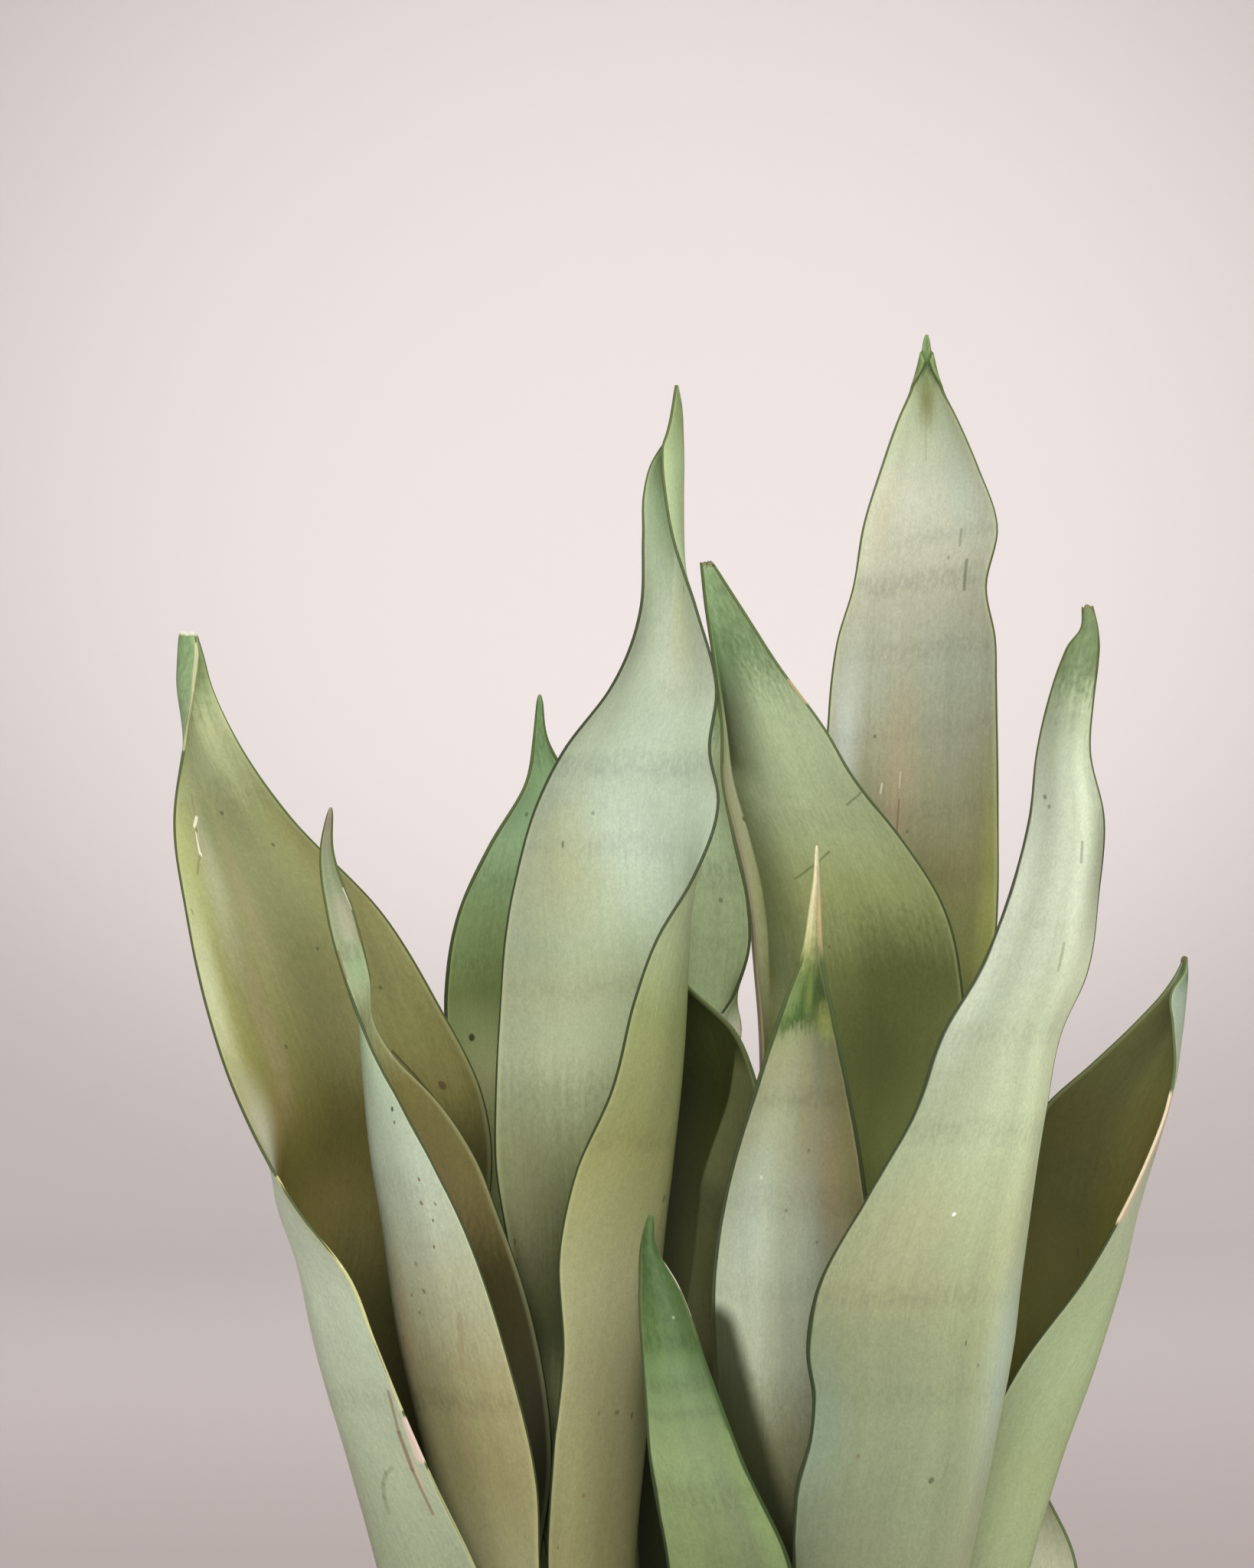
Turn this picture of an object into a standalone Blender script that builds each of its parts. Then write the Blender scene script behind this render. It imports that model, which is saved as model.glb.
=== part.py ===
"""A potted Moonshine snake plant: thirteen broad blades, the soil they stand in and a plain pot.

Metres, +Z up. The origin is the middle of the pot's flat underside, and the plant's front is -Y.
Each blade is a curved strip. Its stations give the height above the soil and the left margin,
the midline and the right margin there, as seen from the front, in millimetres.
"""

import math

import bmesh
import bpy
from mathutils import Vector, noise

MM = 0.001
GAP = 0.3 * MM

# The pot, a plain tapered one with a soft rim
POT_HEIGHT = 0.165
POT_RIM_RADIUS = 0.100
POT_FOOT_RADIUS = 0.076
POT_WALL = 0.006
POT_FLOOR = 0.010
POT_ROUND = 0.003
POT_ROUND_STEPS = 3
POT_SEGMENTS = 64

# The soil, and how far the blades reach down into it
SOIL_LEVEL = 0.150
SOIL_RINGS = 5
SOIL_SEGMENTS = 48
SOIL_MOUND = 0.002
SOIL_ROUGHNESS = 0.0016
SOIL_LUMPS_PER_METRE = 60
ROOT_DEPTH = 0.022

# The blades: thickness along the midline at the foot and at the tip, and along the margins, and
# how much thicker than its margins a narrow stretch may be, as a share of its width
FOOT_THICKNESS = 3.6 * MM
TIP_THICKNESS = 1.5 * MM
MARGIN_THICKNESS = 1.0 * MM
TIP_THINNING = 0.1
ACROSS = 6
ROW_STEP = 22.0

# Edges that turn by more than this many degrees are shaded sharp
BLADE_SHARP = 50
POT_SHARP = 40
SOIL_SHARP = 60

BLADES = {
    # The wide blade at the far left, a channel whose near margin sweeps across its own front
    "leaf_far_left": [
        (4, (-57, -26), (-67, -15), (-57, -1)),
        (70, (-66, -34), (-86, -17), (-70, 6)),
        (141, (-71, -39), (-104, -16), (-81, 15)),
        (174, (-87.5, -38), (-113, -10), (-82, 17)),
        (214, (-105.5, -33), (-124, 2), (-81, 20)),
        (233, (-113, -29), (-126, 6), (-76, 20)),
        (252, (-127.5, -24), (-125, 10), (-71, 20)),
        (285, (-146.5, -14), (-116, 14), (-73, 17)),
        (312, (-156.5, -8), (-124, 14), (-86, 12)),
        (342, (-163.5, -4), (-135, 11), (-104, 8)),
        (371, (-167, -2), (-149, 8), (-131.5, 5)),
        (395, (-163, -8), (-161, 2), (-148, 3)),
        (412, (-160, -8), (-165.5, -1), (-156, 4)),
        (427, (-165, -2), (-163.4, 0), (-161, -1)),
    ],
    # The blade inside it, whose tip twists into a narrow spike
    "leaf_twisted_spike": [
        (4, (-33, -44), (-45, -33), (-37, -21)),
        (70, (-43, -44), (-61, -29), (-45, -14)),
        (141, (-54, -38), (-81, -17), (-55, -1)),
        (173, (-55.2, -38), (-88, -12), (-51.3, -1)),
        (212, (-64.8, -35), (-97, -6), (-56, 0)),
        (251, (-78.6, -31), (-102.5, -3), (-68.4, 1)),
        (266, (-86.2, -28), (-105, -3), (-74.5, 2)),
        (285, (-96.8, -22), (-107.2, -4), (-87.4, 3)),
        (298, (-104.5, -15), (-108.5, -5), (-100, 2)),
        (308, (-109.2, -9), (-109.3, -3), (-106, 2)),
        (321, (-114.6, -4), (-110.8, -1), (-106.9, 1)),
        (340, (-119.8, -3), (-115.5, 0), (-111.3, -1)),
        (362, (-121.2, -2), (-119.5, -1), (-117.9, -2)),
        (374, (-119.5, -2), (-118.8, -2), (-118.1, -2)),
    ],
    # The large blade in the middle, whose right side folds forward lower down
    "leaf_centre": [
        (4, (-27, 5), (-13, -8), (-25, -21)),
        (70, (-40, 7), (-20, -6), (-38, -22)),
        (141, (-53, 11), (-27, -3), (-52.5, -21)),
        (178, (-58, 12), (-24.5, 0), (-51, -21)),
        (210, (-61, 11), (-21, 2), (-48, -20)),
        (238, (-65, 10), (-19, 4), (-49.3, -19)),
        (264, (-69, 9), (-16.5, 6), (-43.8, -19)),
        (287, (-69, 8), (-15, 8), (-33.8, -20)),
        (317, (-67.3, 7), (-14, 10), (-26, -20)),
        (335, (-66, 5), (-15, 11), (-19, -19)),
        (352, (-63, 3), (-18, 12), (-8.5, -16)),
        (376, (-55.8, 0), (-24, 12), (-0.4, -11)),
        (391, (-48, -2), (-22, 11), (-2.8, -9)),
        (410, (-33.8, -3), (-16, 9), (-0.6, -7)),
        (434, (-24.6, -1), (-14, 9), (-6.8, -6)),
        (457, (-23.7, 0), (-12.5, 8), (-14.5, -5)),
        (483, (-19.7, 3), (-11.8, 6), (-17, -2)),
        (495, (-14.8, 3.5), (-13, 4.2), (-12.4, 2.2)),
        (503.5, (-13.9, 3), (-13.1, 3), (-12.3, 3)),
    ],
    # The dark blade that shows at the left of the middle one
    "leaf_behind_centre": [
        (4, (-39, 17), (-32, 28), (-20, 23)),
        (70, (-47, 23), (-38, 33), (-25, 26)),
        (141, (-60, 28), (-44, 39), (-28, 31)),
        (210, (-73, 32), (-50, 43), (-32, 34)),
        (280, (-82, 29), (-57, 41), (-36, 36)),
        (317, (-85, 25), (-60, 38), (-36, 36)),
        (340, (-81, 25), (-58, 37), (-36, 35)),
        (362, (-71.3, 26), (-55, 36), (-38, 34)),
        (382, (-60, 28), (-53, 32), (-46, 30)),
        (395, (-57.7, 29), (-55.5, 30), (-53, 29)),
        (409, (-56.4, 30), (-55.6, 30), (-54.8, 30)),
    ],
    # The small cupped blade in the shade, between the middle one and the pale one
    "leaf_shaded": [
        (4, (-16, 8), (-5, 13), (3, 3)),
        (70, (-18, 12), (-5, 17), (5, 6)),
        (141, (-20, 16), (-4, 19), (9, 7)),
        (205, (-26, 17), (-6, 22), (11, 7)),
        (260, (-30, 18), (-7, 23), (12, 7)),
        (293, (-30, 18), (-9, 22), (10.3, 8)),
        (305, (-29, 18), (-12, 21), (5, 12)),
        (320, (-27, 17), (-18, 19), (-10.5, 15)),
        (336, (-22.2, 17), (-21.3, 17), (-20.4, 17)),
    ],
    # The pale blade that shows at the right of the middle one
    "leaf_pale_back": [
        (4, (-11, 28), (-1, 36), (10, 29)),
        (70, (-14, 29), (-2, 37), (10, 30)),
        (141, (-17, 30), (-3, 38), (10, 31)),
        (200, (-25, 29), (-6, 36), (8, 29)),
        (260, (-30, 29), (-8, 35), (6, 28)),
        (293, (-32, 29), (-1, 33), (2, 26)),
        (304, (-34, 29), (3.5, 31), (-2, 25)),
        (316, (-34, 29), (-2, 32), (4.6, 25)),
        (330, (-33, 29), (-6, 32), (9.7, 25)),
        (344, (-31, 28), (-8, 32), (9.4, 25)),
        (364, (-27, 27), (-8, 31), (5, 24)),
        (382, (-20, 26), (-7, 30), (1.3, 24)),
        (404, (-8, 25), (-3, 26), (0.5, 24)),
        (413, (-3.8, 25), (-3, 25), (-2.2, 25)),
    ],
    # The wide blade right of the middle, with its tip cut off blunt
    "leaf_cut_tip": [
        (4, (7, 11), (19, 20), (31, 8)),
        (70, (8, 15), (20, 28), (38, 9)),
        (141, (9, 20), (21, 34), (46, 11)),
        (210, (11, 25), (24, 40), (56, 12)),
        (280, (14, 30), (27, 44), (73, 13)),
        (318, (12.8, 32), (26, 46), (75.6, 16)),
        (346, (9.8, 32), (22, 46), (68.4, 18)),
        (364, (6, 32), (18, 44), (56.8, 20)),
        (383, (1.6, 32), (12.5, 42), (41.9, 21)),
        (399, (1.2, 31), (8.5, 39), (32.8, 22)),
        (419, (-1.2, 29), (4, 35), (18.4, 23)),
        (433, (-3.5, 27), (0.5, 31), (9.4, 24)),
        (450, (-5.6, 26), (-3.6, 27), (-1.6, 26)),
    ],
    # The tallest blade, flat to the front, with a waist below its broad head
    "leaf_tall": [
        (4, (26, 29), (39, 38), (49, 24)),
        (70, (27, 35), (41, 44), (53, 30)),
        (141, (30, 45), (46, 53), (60, 39)),
        (210, (33, 53), (52, 60), (70, 46)),
        (280, (31, 57), (55, 64), (81, 51)),
        (340, (29, 58), (58, 65), (88.9, 54)),
        (370, (32, 58), (60, 65), (89.3, 55)),
        (399, (35.2, 58), (62, 65), (89, 55)),
        (427, (39.8, 57), (64, 64), (88.4, 55)),
        (443, (42.9, 56), (65, 63), (85.6, 56)),
        (463, (46.4, 55), (67, 62), (88.6, 55)),
        (481, (52, 55), (67, 61), (82.8, 55)),
        (497, (57.4, 55), (66.7, 59), (76.4, 55)),
        (511, (62.9, 55), (66.5, 56), (70.2, 55)),
        (524, (65.7, 55), (66.5, 55), (67.3, 55)),
    ],
    # The blade with a pale dry spine at its tip, in front of the cut one
    "leaf_cream_spine": [
        (4, (-4, -30), (7, -21), (18, -27)),
        (70, (-1, -28), (14, -18), (31, -25)),
        (141, (1, -24), (21, -14), (42, -22)),
        (205, (-2.4, -23), (22, -12), (48, -22)),
        (229, (-2.8, -23), (22, -12), (47, -22)),
        (262, (2.1, -22), (22.5, -13), (43.5, -22)),
        (290, (10.4, -21), (24.5, -14), (38.6, -21)),
        (316, (19, -19), (26.3, -16), (33.5, -19)),
        (331, (25.2, -18), (28, -17), (30.7, -18)),
        (361.5, (28.3, -16), (29.1, -16), (29.9, -16)),
    ],
    # The short blade at the very front
    "leaf_front": [
        (4, (-4, -44), (8, -54), (20, -44)),
        (60, (-7, -48), (8, -58), (22, -51)),
        (115, (-13, -50), (5, -60), (23, -56)),
        (150, (-16.6, -50), (1.5, -58), (20.2, -56)),
        (180, (-21.8, -46), (-7.5, -52), (6.3, -49)),
        (206, (-23.6, -42), (-13.5, -47), (-4, -42)),
        (231, (-24.9, -38), (-18.4, -41), (-12.8, -37)),
        (244, (-24.1, -35), (-21.7, -37), (-20.2, -35)),
        (252, (-22, -34), (-21.3, -34.3), (-20.6, -34)),
    ],
    # The biggest blade, its rounded back to the front right
    "leaf_front_right": [
        (4, (22, -36), (38, -38), (45, -22)),
        (70, (20, -42), (46, -45), (58, -20)),
        (147, (20.4, -45), (58, -50), (75.5, -19)),
        (183, (25.2, -46), (65, -51), (82.9, -19)),
        (204, (25.6, -45), (68, -51), (87.2, -19)),
        (229, (27.8, -44), (71, -50), (90.2, -19)),
        (258, (43, -42), (78, -49), (94.2, -20)),
        (282, (56.6, -39), (84, -47), (98, -22)),
        (308, (66.4, -37), (89, -45), (102.8, -25)),
        (323, (75.8, -35), (94.5, -43), (109.6, -27)),
        (347, (85.8, -33), (101, -40), (113.4, -29)),
        (371, (92.6, -31), (104.5, -37), (115.3, -29)),
        (391, (95.8, -30), (104, -35), (111.2, -29)),
        (415, (103.2, -30), (108.5, -33), (113.2, -30)),
        (434, (109, -30), (109.8, -30), (110.6, -30)),
    ],
    # The blade at the far right, a channel that opens to the middle
    "leaf_far_right": [
        (4, (57, 9), (68, -4), (57, -17)),
        (70, (64, 14), (81, 0), (69, -12)),
        (141, (72, 16), (94, 4), (78, -9)),
        (173, (76, 18), (104, 7), (83, -8)),
        (204, (82, 20), (115, 10), (93, -8)),
        (231, (84, 21), (121.5, 12), (110.5, -10)),
        (252, (86, 21), (124, 13), (122.3, -12)),
        (267, (92, 20), (127, 13), (129.6, -11)),
        (283, (102, 17), (131, 12), (136, -8)),
        (294, (114, 14), (136, 10), (138.3, -6)),
        (307, (127.3, 10), (141, 7), (138, -4)),
        (318, (137, 7), (142.8, 4), (138.2, -1)),
        (323.5, (140.4, 5.6), (143, 4.4), (142.2, 2.4)),
        (327.5, (142, 4.7), (142.8, 4.2), (143, 3.3)),
    ],
    # The short blade that leans out behind it
    "leaf_short_back": [
        (4, (54, 36), (66, 31), (64, 19)),
        (70, (68, 36), (84, 34), (95, 20)),
        (115, (76, 31), (95, 33), (111, 20)),
        (142, (78, 28), (97, 31), (110, 21)),
        (160, (80, 27), (93, 29), (102, 22)),
        (186, (88.2, 25), (89, 25), (89.8, 25)),
    ],
}

# The blades that grow in the others' shade, of a deeper green
SHADED = ("leaf_behind_centre", "leaf_shaded")

# How far each blade's tip bends back, or to the front where negative, beyond its stations
BENDS = {
    "leaf_far_left": 8,
    "leaf_twisted_spike": -10,
    "leaf_centre": -6,
    "leaf_behind_centre": 18,
    "leaf_shaded": 0,
    "leaf_pale_back": 8,
    "leaf_cut_tip": 10,
    "leaf_tall": 25,
    "leaf_cream_spine": -10,
    "leaf_front": -14,
    "leaf_front_right": -18,
    "leaf_far_right": -8,
    "leaf_short_back": 14,
}


def clear_scene():
    for old in list(bpy.data.objects):
        bpy.data.objects.remove(old, do_unlink=True)


def material(name, colour, roughness):
    made = bpy.data.materials.new(name)
    made.use_nodes = True
    shader = made.node_tree.nodes["Principled BSDF"]
    shader.inputs["Base Color"].default_value = (*colour, 1.0)
    shader.inputs["Roughness"].default_value = roughness
    shader.inputs["Metallic"].default_value = 0.0
    return made


def solid_object(name, points, faces, surface, sharp_angle):
    mesh = bpy.data.meshes.new(name)
    mesh.from_pydata(points, [], faces)
    mesh.materials.append(surface)
    mesh.shade_smooth()
    mesh.set_sharp_from_angle(angle=math.radians(sharp_angle))
    made = bpy.data.objects.new(name, mesh)
    bpy.context.scene.collection.objects.link(made)
    return made


def slopes(heights, values):
    """The slope of a smooth curve at each station: its two spans' mean, the shorter one weighing more."""
    spans = [b - a for a, b in zip(heights, heights[1:])]
    rises = [(b - a) / span for a, b, span in zip(values, values[1:], spans)]
    inner = [
        (rises[i] * spans[i + 1] + rises[i + 1] * spans[i]) / (spans[i] + spans[i + 1])
        for i in range(len(spans) - 1)
    ]
    return [rises[0], *inner, rises[-1]]


def at_height(heights, values, tilts, height):
    """A cubic through the stations on either side of this height."""
    i = max(k for k in range(len(heights) - 1) if heights[k] <= height or k == 0)
    span = heights[i + 1] - heights[i]
    t = (height - heights[i]) / span
    start = (1 + 2 * t) * (1 - t) ** 2 * values[i] + t * (1 - t) ** 2 * span * tilts[i]
    end = t * t * (3 - 2 * t) * values[i + 1] + t * t * (t - 1) * span * tilts[i + 1]
    return start + end


def row_heights(stations):
    """Every station's height, and evenly spaced rows between those that lie far apart."""
    heights = []
    for low, high in zip(stations, stations[1:]):
        parts = math.ceil((high[0] - low[0]) / ROW_STEP)
        heights += [low[0] + (high[0] - low[0]) * k / parts for k in range(parts)]
    return [*heights, stations[-1][0]]


def middle_surface(stations, heights, across, bend):
    """Rows of points on the blade's middle surface, each an arc through margin, midline and margin."""
    levels = [station[0] for station in stations]
    columns = [[station[1 + k // 2][k % 2] for station in stations] for k in range(6)]
    tilts = [slopes(levels, column) for column in columns]
    rows = []
    for height in heights:
        lx, ly, mx, my, rx, ry = (
            at_height(levels, column, tilt, height) for column, tilt in zip(columns, tilts)
        )
        row = []
        bent = bend * (max(height, 0) / levels[-1]) ** 2
        for j in range(across + 1):
            s = 2 * j / across - 1
            left, middle, right = s * (s - 1) / 2, 1 - s * s, s * (s + 1) / 2
            x = lx * left + mx * middle + rx * right
            y = ly * left + my * middle + ry * right + bent
            row.append(Vector((x * MM, y * MM, SOIL_LEVEL + height * MM)))
        rows.append(row)
    return rows


def normal_at(rows, i, j):
    along = rows[min(i + 1, len(rows) - 1)][j] - rows[max(i - 1, 0)][j]
    last = len(rows[i]) - 1
    over = rows[i][min(j + 1, last)] - rows[i][max(j - 1, 0)]
    return over.cross(along).normalized()


def blade_solid(rows, rise, grow=0.0):
    """Points and triangles of a closed blade around its middle surface, split alike on both faces."""
    count, across = len(rows), len(rows[0]) - 1
    front, back = [], []
    for i, row in enumerate(rows):
        share = max(0.0, (row[0].z - SOIL_LEVEL) / rise)
        width = sum((b - a).length for a, b in zip(row, row[1:]))
        middle = FOOT_THICKNESS + (TIP_THICKNESS - FOOT_THICKNESS) * share
        middle = min(middle, MARGIN_THICKNESS + TIP_THINNING * width)
        for j, point in enumerate(row):
            s = 2 * j / across - 1
            half = (MARGIN_THICKNESS + (middle - MARGIN_THICKNESS) * (1 - s * s)) / 2 + grow
            over = normal_at(rows, i, j) * half
            spread = (row[min(j + 1, across)] - row[max(j - 1, 0)]).normalized() * grow
            side = spread if j == across else -spread if j == 0 else Vector()
            front.append(point + over + side)
            back.append(point - over + side)
    points = front + back
    offset = len(front)
    faces = []
    for i in range(count - 1):
        for j in range(across):
            a = i * (across + 1) + j
            b, c, d = a + 1, a + across + 2, a + across + 1
            faces += [(a, b, c), (a, c, d)]
            faces += [(offset + a, offset + c, offset + b), (offset + a, offset + d, offset + c)]
        low, high = i * (across + 1), (i + 1) * (across + 1)
        faces += [(low, high, offset + high), (low, offset + high, offset + low)]
        low, high = low + across, high + across
        faces += [(low, offset + high, high), (low, offset + low, offset + high)]
    top = (count - 1) * (across + 1)
    for j in range(across):
        faces += [(j, offset + j + 1, j + 1), (j, offset + j, offset + j + 1)]
        a, b = top + j, top + j + 1
        faces += [(a, b, offset + b), (a, offset + b, offset + a)]
    return points, faces


def blade_rows(name):
    """The blade's rows from its buried foot, which is straight up to the first station, to its tip."""
    stations = BLADES[name]
    foot = [(height, *stations[0][1:]) for height in (-ROOT_DEPTH / MM, 0.0)]
    full = [*foot, *stations]
    return middle_surface(full, row_heights(full), ACROSS, BENDS[name])


def make_blade(name, surface):
    points, faces = blade_solid(blade_rows(name), BLADES[name][-1][0] * MM)
    return solid_object(name, points, faces, surface, BLADE_SHARP)


def hole_shapes():
    """The holes that the blades stand in: each foot grown by the gap, from just below it to above the soil."""
    points, faces = [], []
    for name, stations in BLADES.items():
        foot, _, top = blade_rows(name)[:3]
        rows = [[point - Vector((0, 0, GAP)) for point in foot], top]
        more, triangles = blade_solid(rows, stations[-1][0] * MM, GAP)
        faces += [tuple(len(points) + k for k in triangle) for triangle in triangles]
        points += more
    return points, faces


def turned(name, profile, segments, surface, sharp_angle, lift=None):
    """A solid turned about Z from a profile of (radius, height) that starts and ends on the axis."""
    shape = bmesh.new()
    rings = []
    for radius, height in profile:
        if radius == 0:
            rings.append([shape.verts.new((0, 0, height))])
            continue
        angles = [2 * math.pi * k / segments for k in range(segments)]
        corners = [(radius * math.cos(a), radius * math.sin(a), height) for a in angles]
        rings.append([shape.verts.new(corner) for corner in corners])
    for low, high in zip(rings, rings[1:]):
        for k in range(segments):
            n = (k + 1) % segments
            if len(low) == 1:
                shape.faces.new((low[0], high[n], high[k]))
            elif len(high) == 1:
                shape.faces.new((low[k], low[n], high[0]))
            else:
                shape.faces.new((low[k], low[n], high[n], high[k]))
    if lift:
        for vertex in shape.verts:
            vertex.co.z += lift(vertex.co)
    mesh = bpy.data.meshes.new(name)
    shape.to_mesh(mesh)
    shape.free()
    mesh.materials.append(surface)
    mesh.shade_smooth()
    mesh.set_sharp_from_angle(angle=math.radians(sharp_angle))
    made = bpy.data.objects.new(name, mesh)
    bpy.context.scene.collection.objects.link(made)
    return made


def pot_outer_radius(height):
    return POT_FOOT_RADIUS + (POT_RIM_RADIUS - POT_FOOT_RADIUS) * height / POT_HEIGHT


def quarter(radius, height, start):
    """Points of a quarter turn of the pot's edge rounding about (radius, height), from this angle on."""
    turns = [k / POT_ROUND_STEPS for k in range(POT_ROUND_STEPS + 1)]
    angles = [math.radians(start + 90 * turn) for turn in turns]
    return [(radius + POT_ROUND * math.cos(a), height + POT_ROUND * math.sin(a)) for a in angles]


def make_pot():
    inner = pot_outer_radius(POT_HEIGHT) - POT_WALL
    inner_floor = pot_outer_radius(POT_FLOOR) - POT_WALL
    rim = POT_HEIGHT - POT_ROUND
    profile = [(0, 0)]
    profile += quarter(POT_FOOT_RADIUS - POT_ROUND, POT_ROUND, -90)
    profile += quarter(POT_RIM_RADIUS - POT_ROUND, rim, 0)
    profile += [(inner, rim), (inner_floor, POT_FLOOR), (0, POT_FLOOR)]
    surface = material("pot_ceramic", (0.80, 0.77, 0.72), 0.55)
    return turned("pot", profile, POT_SEGMENTS, surface, POT_SHARP)


def soil_lift(point):
    """The soil's slight mound and lumps, on its upper face only."""
    if point.z < SOIL_LEVEL - POT_ROUND:
        return 0.0
    out = math.hypot(point.x, point.y) / POT_RIM_RADIUS
    return SOIL_MOUND * (1 - out * out) + SOIL_ROUGHNESS * noise.noise(point * SOIL_LUMPS_PER_METRE)


def make_soil():
    bottom = POT_FLOOR + GAP
    low = pot_outer_radius(bottom) - POT_WALL - 2 * GAP
    high = pot_outer_radius(SOIL_LEVEL) - POT_WALL - 2 * GAP
    profile = [(0, bottom), (low, bottom)]
    profile += [(high * (1 - k / SOIL_RINGS), SOIL_LEVEL) for k in range(SOIL_RINGS)]
    profile.append((0, SOIL_LEVEL))
    surface = material("soil", (0.045, 0.030, 0.020), 0.95)
    soil = turned("soil", profile, SOIL_SEGMENTS, surface, SOIL_SHARP, soil_lift)
    points, faces = hole_shapes()
    holes = solid_object("soil_holes", points, faces, surface, SOIL_SHARP)
    holes.hide_render = True
    holes.display_type = "WIRE"
    cut = soil.modifiers.new("holes", "BOOLEAN")
    cut.operation = "DIFFERENCE"
    cut.solver = "EXACT"
    cut.object = holes
    return soil


def main():
    clear_scene()
    make_pot()
    make_soil()
    pale = material("leaf_pale_green", (0.50, 0.57, 0.40), 0.45)
    deep = material("leaf_deep_green", (0.20, 0.27, 0.13), 0.50)
    for name in BLADES:
        make_blade(name, deep if name in SHADED else pale)


main()
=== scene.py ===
import math

import bmesh
import bpy
import numpy as np
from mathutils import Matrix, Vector, noise


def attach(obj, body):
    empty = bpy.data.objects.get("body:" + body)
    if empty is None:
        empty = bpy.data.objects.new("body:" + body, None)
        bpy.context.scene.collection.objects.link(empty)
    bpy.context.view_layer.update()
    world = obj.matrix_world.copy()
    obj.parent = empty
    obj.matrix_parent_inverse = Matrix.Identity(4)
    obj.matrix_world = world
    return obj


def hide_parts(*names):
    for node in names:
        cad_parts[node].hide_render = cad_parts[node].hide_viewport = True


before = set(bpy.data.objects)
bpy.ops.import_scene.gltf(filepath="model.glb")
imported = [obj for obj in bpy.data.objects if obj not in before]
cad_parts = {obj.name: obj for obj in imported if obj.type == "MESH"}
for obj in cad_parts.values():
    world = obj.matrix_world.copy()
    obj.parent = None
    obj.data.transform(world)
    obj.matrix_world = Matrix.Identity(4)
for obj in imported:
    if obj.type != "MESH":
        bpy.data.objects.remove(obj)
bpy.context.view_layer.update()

# Metres, +Z up, the plant's front at -Y. Heights on the blades are in millimetres above the soil.
MM = 0.001
SOIL_LEVEL = 0.150
ROOT_DEPTH = 0.022

# The blades' thickness along the midline at the foot and at the tip, and along the margins, and how
# much thicker than its margins a narrow stretch may be, as a share of its width
FOOT_THICKNESS = 3.6 * MM
TIP_THICKNESS = 1.5 * MM
MARGIN_THICKNESS = 1.0 * MM
TIP_THINNING = 0.1

# The fine mesh: rows up the blade, columns across it, and the extra ones that round its margin
ROW_STEP = 2.4
TIP_ROW_STEP = 0.9
TIP_REACH = 36
ACROSS = 38
MARGIN_COLUMNS = (0.0, 0.12, 0.35, 0.7, 1.3)
MARGIN_ROUND = 0.5

# Rows narrower than this, in millimetres, have tighter and thinner margins
NARROW_ROW = 8

# How many points along a row its width is measured through
WIDTH_POINTS = 17

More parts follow.
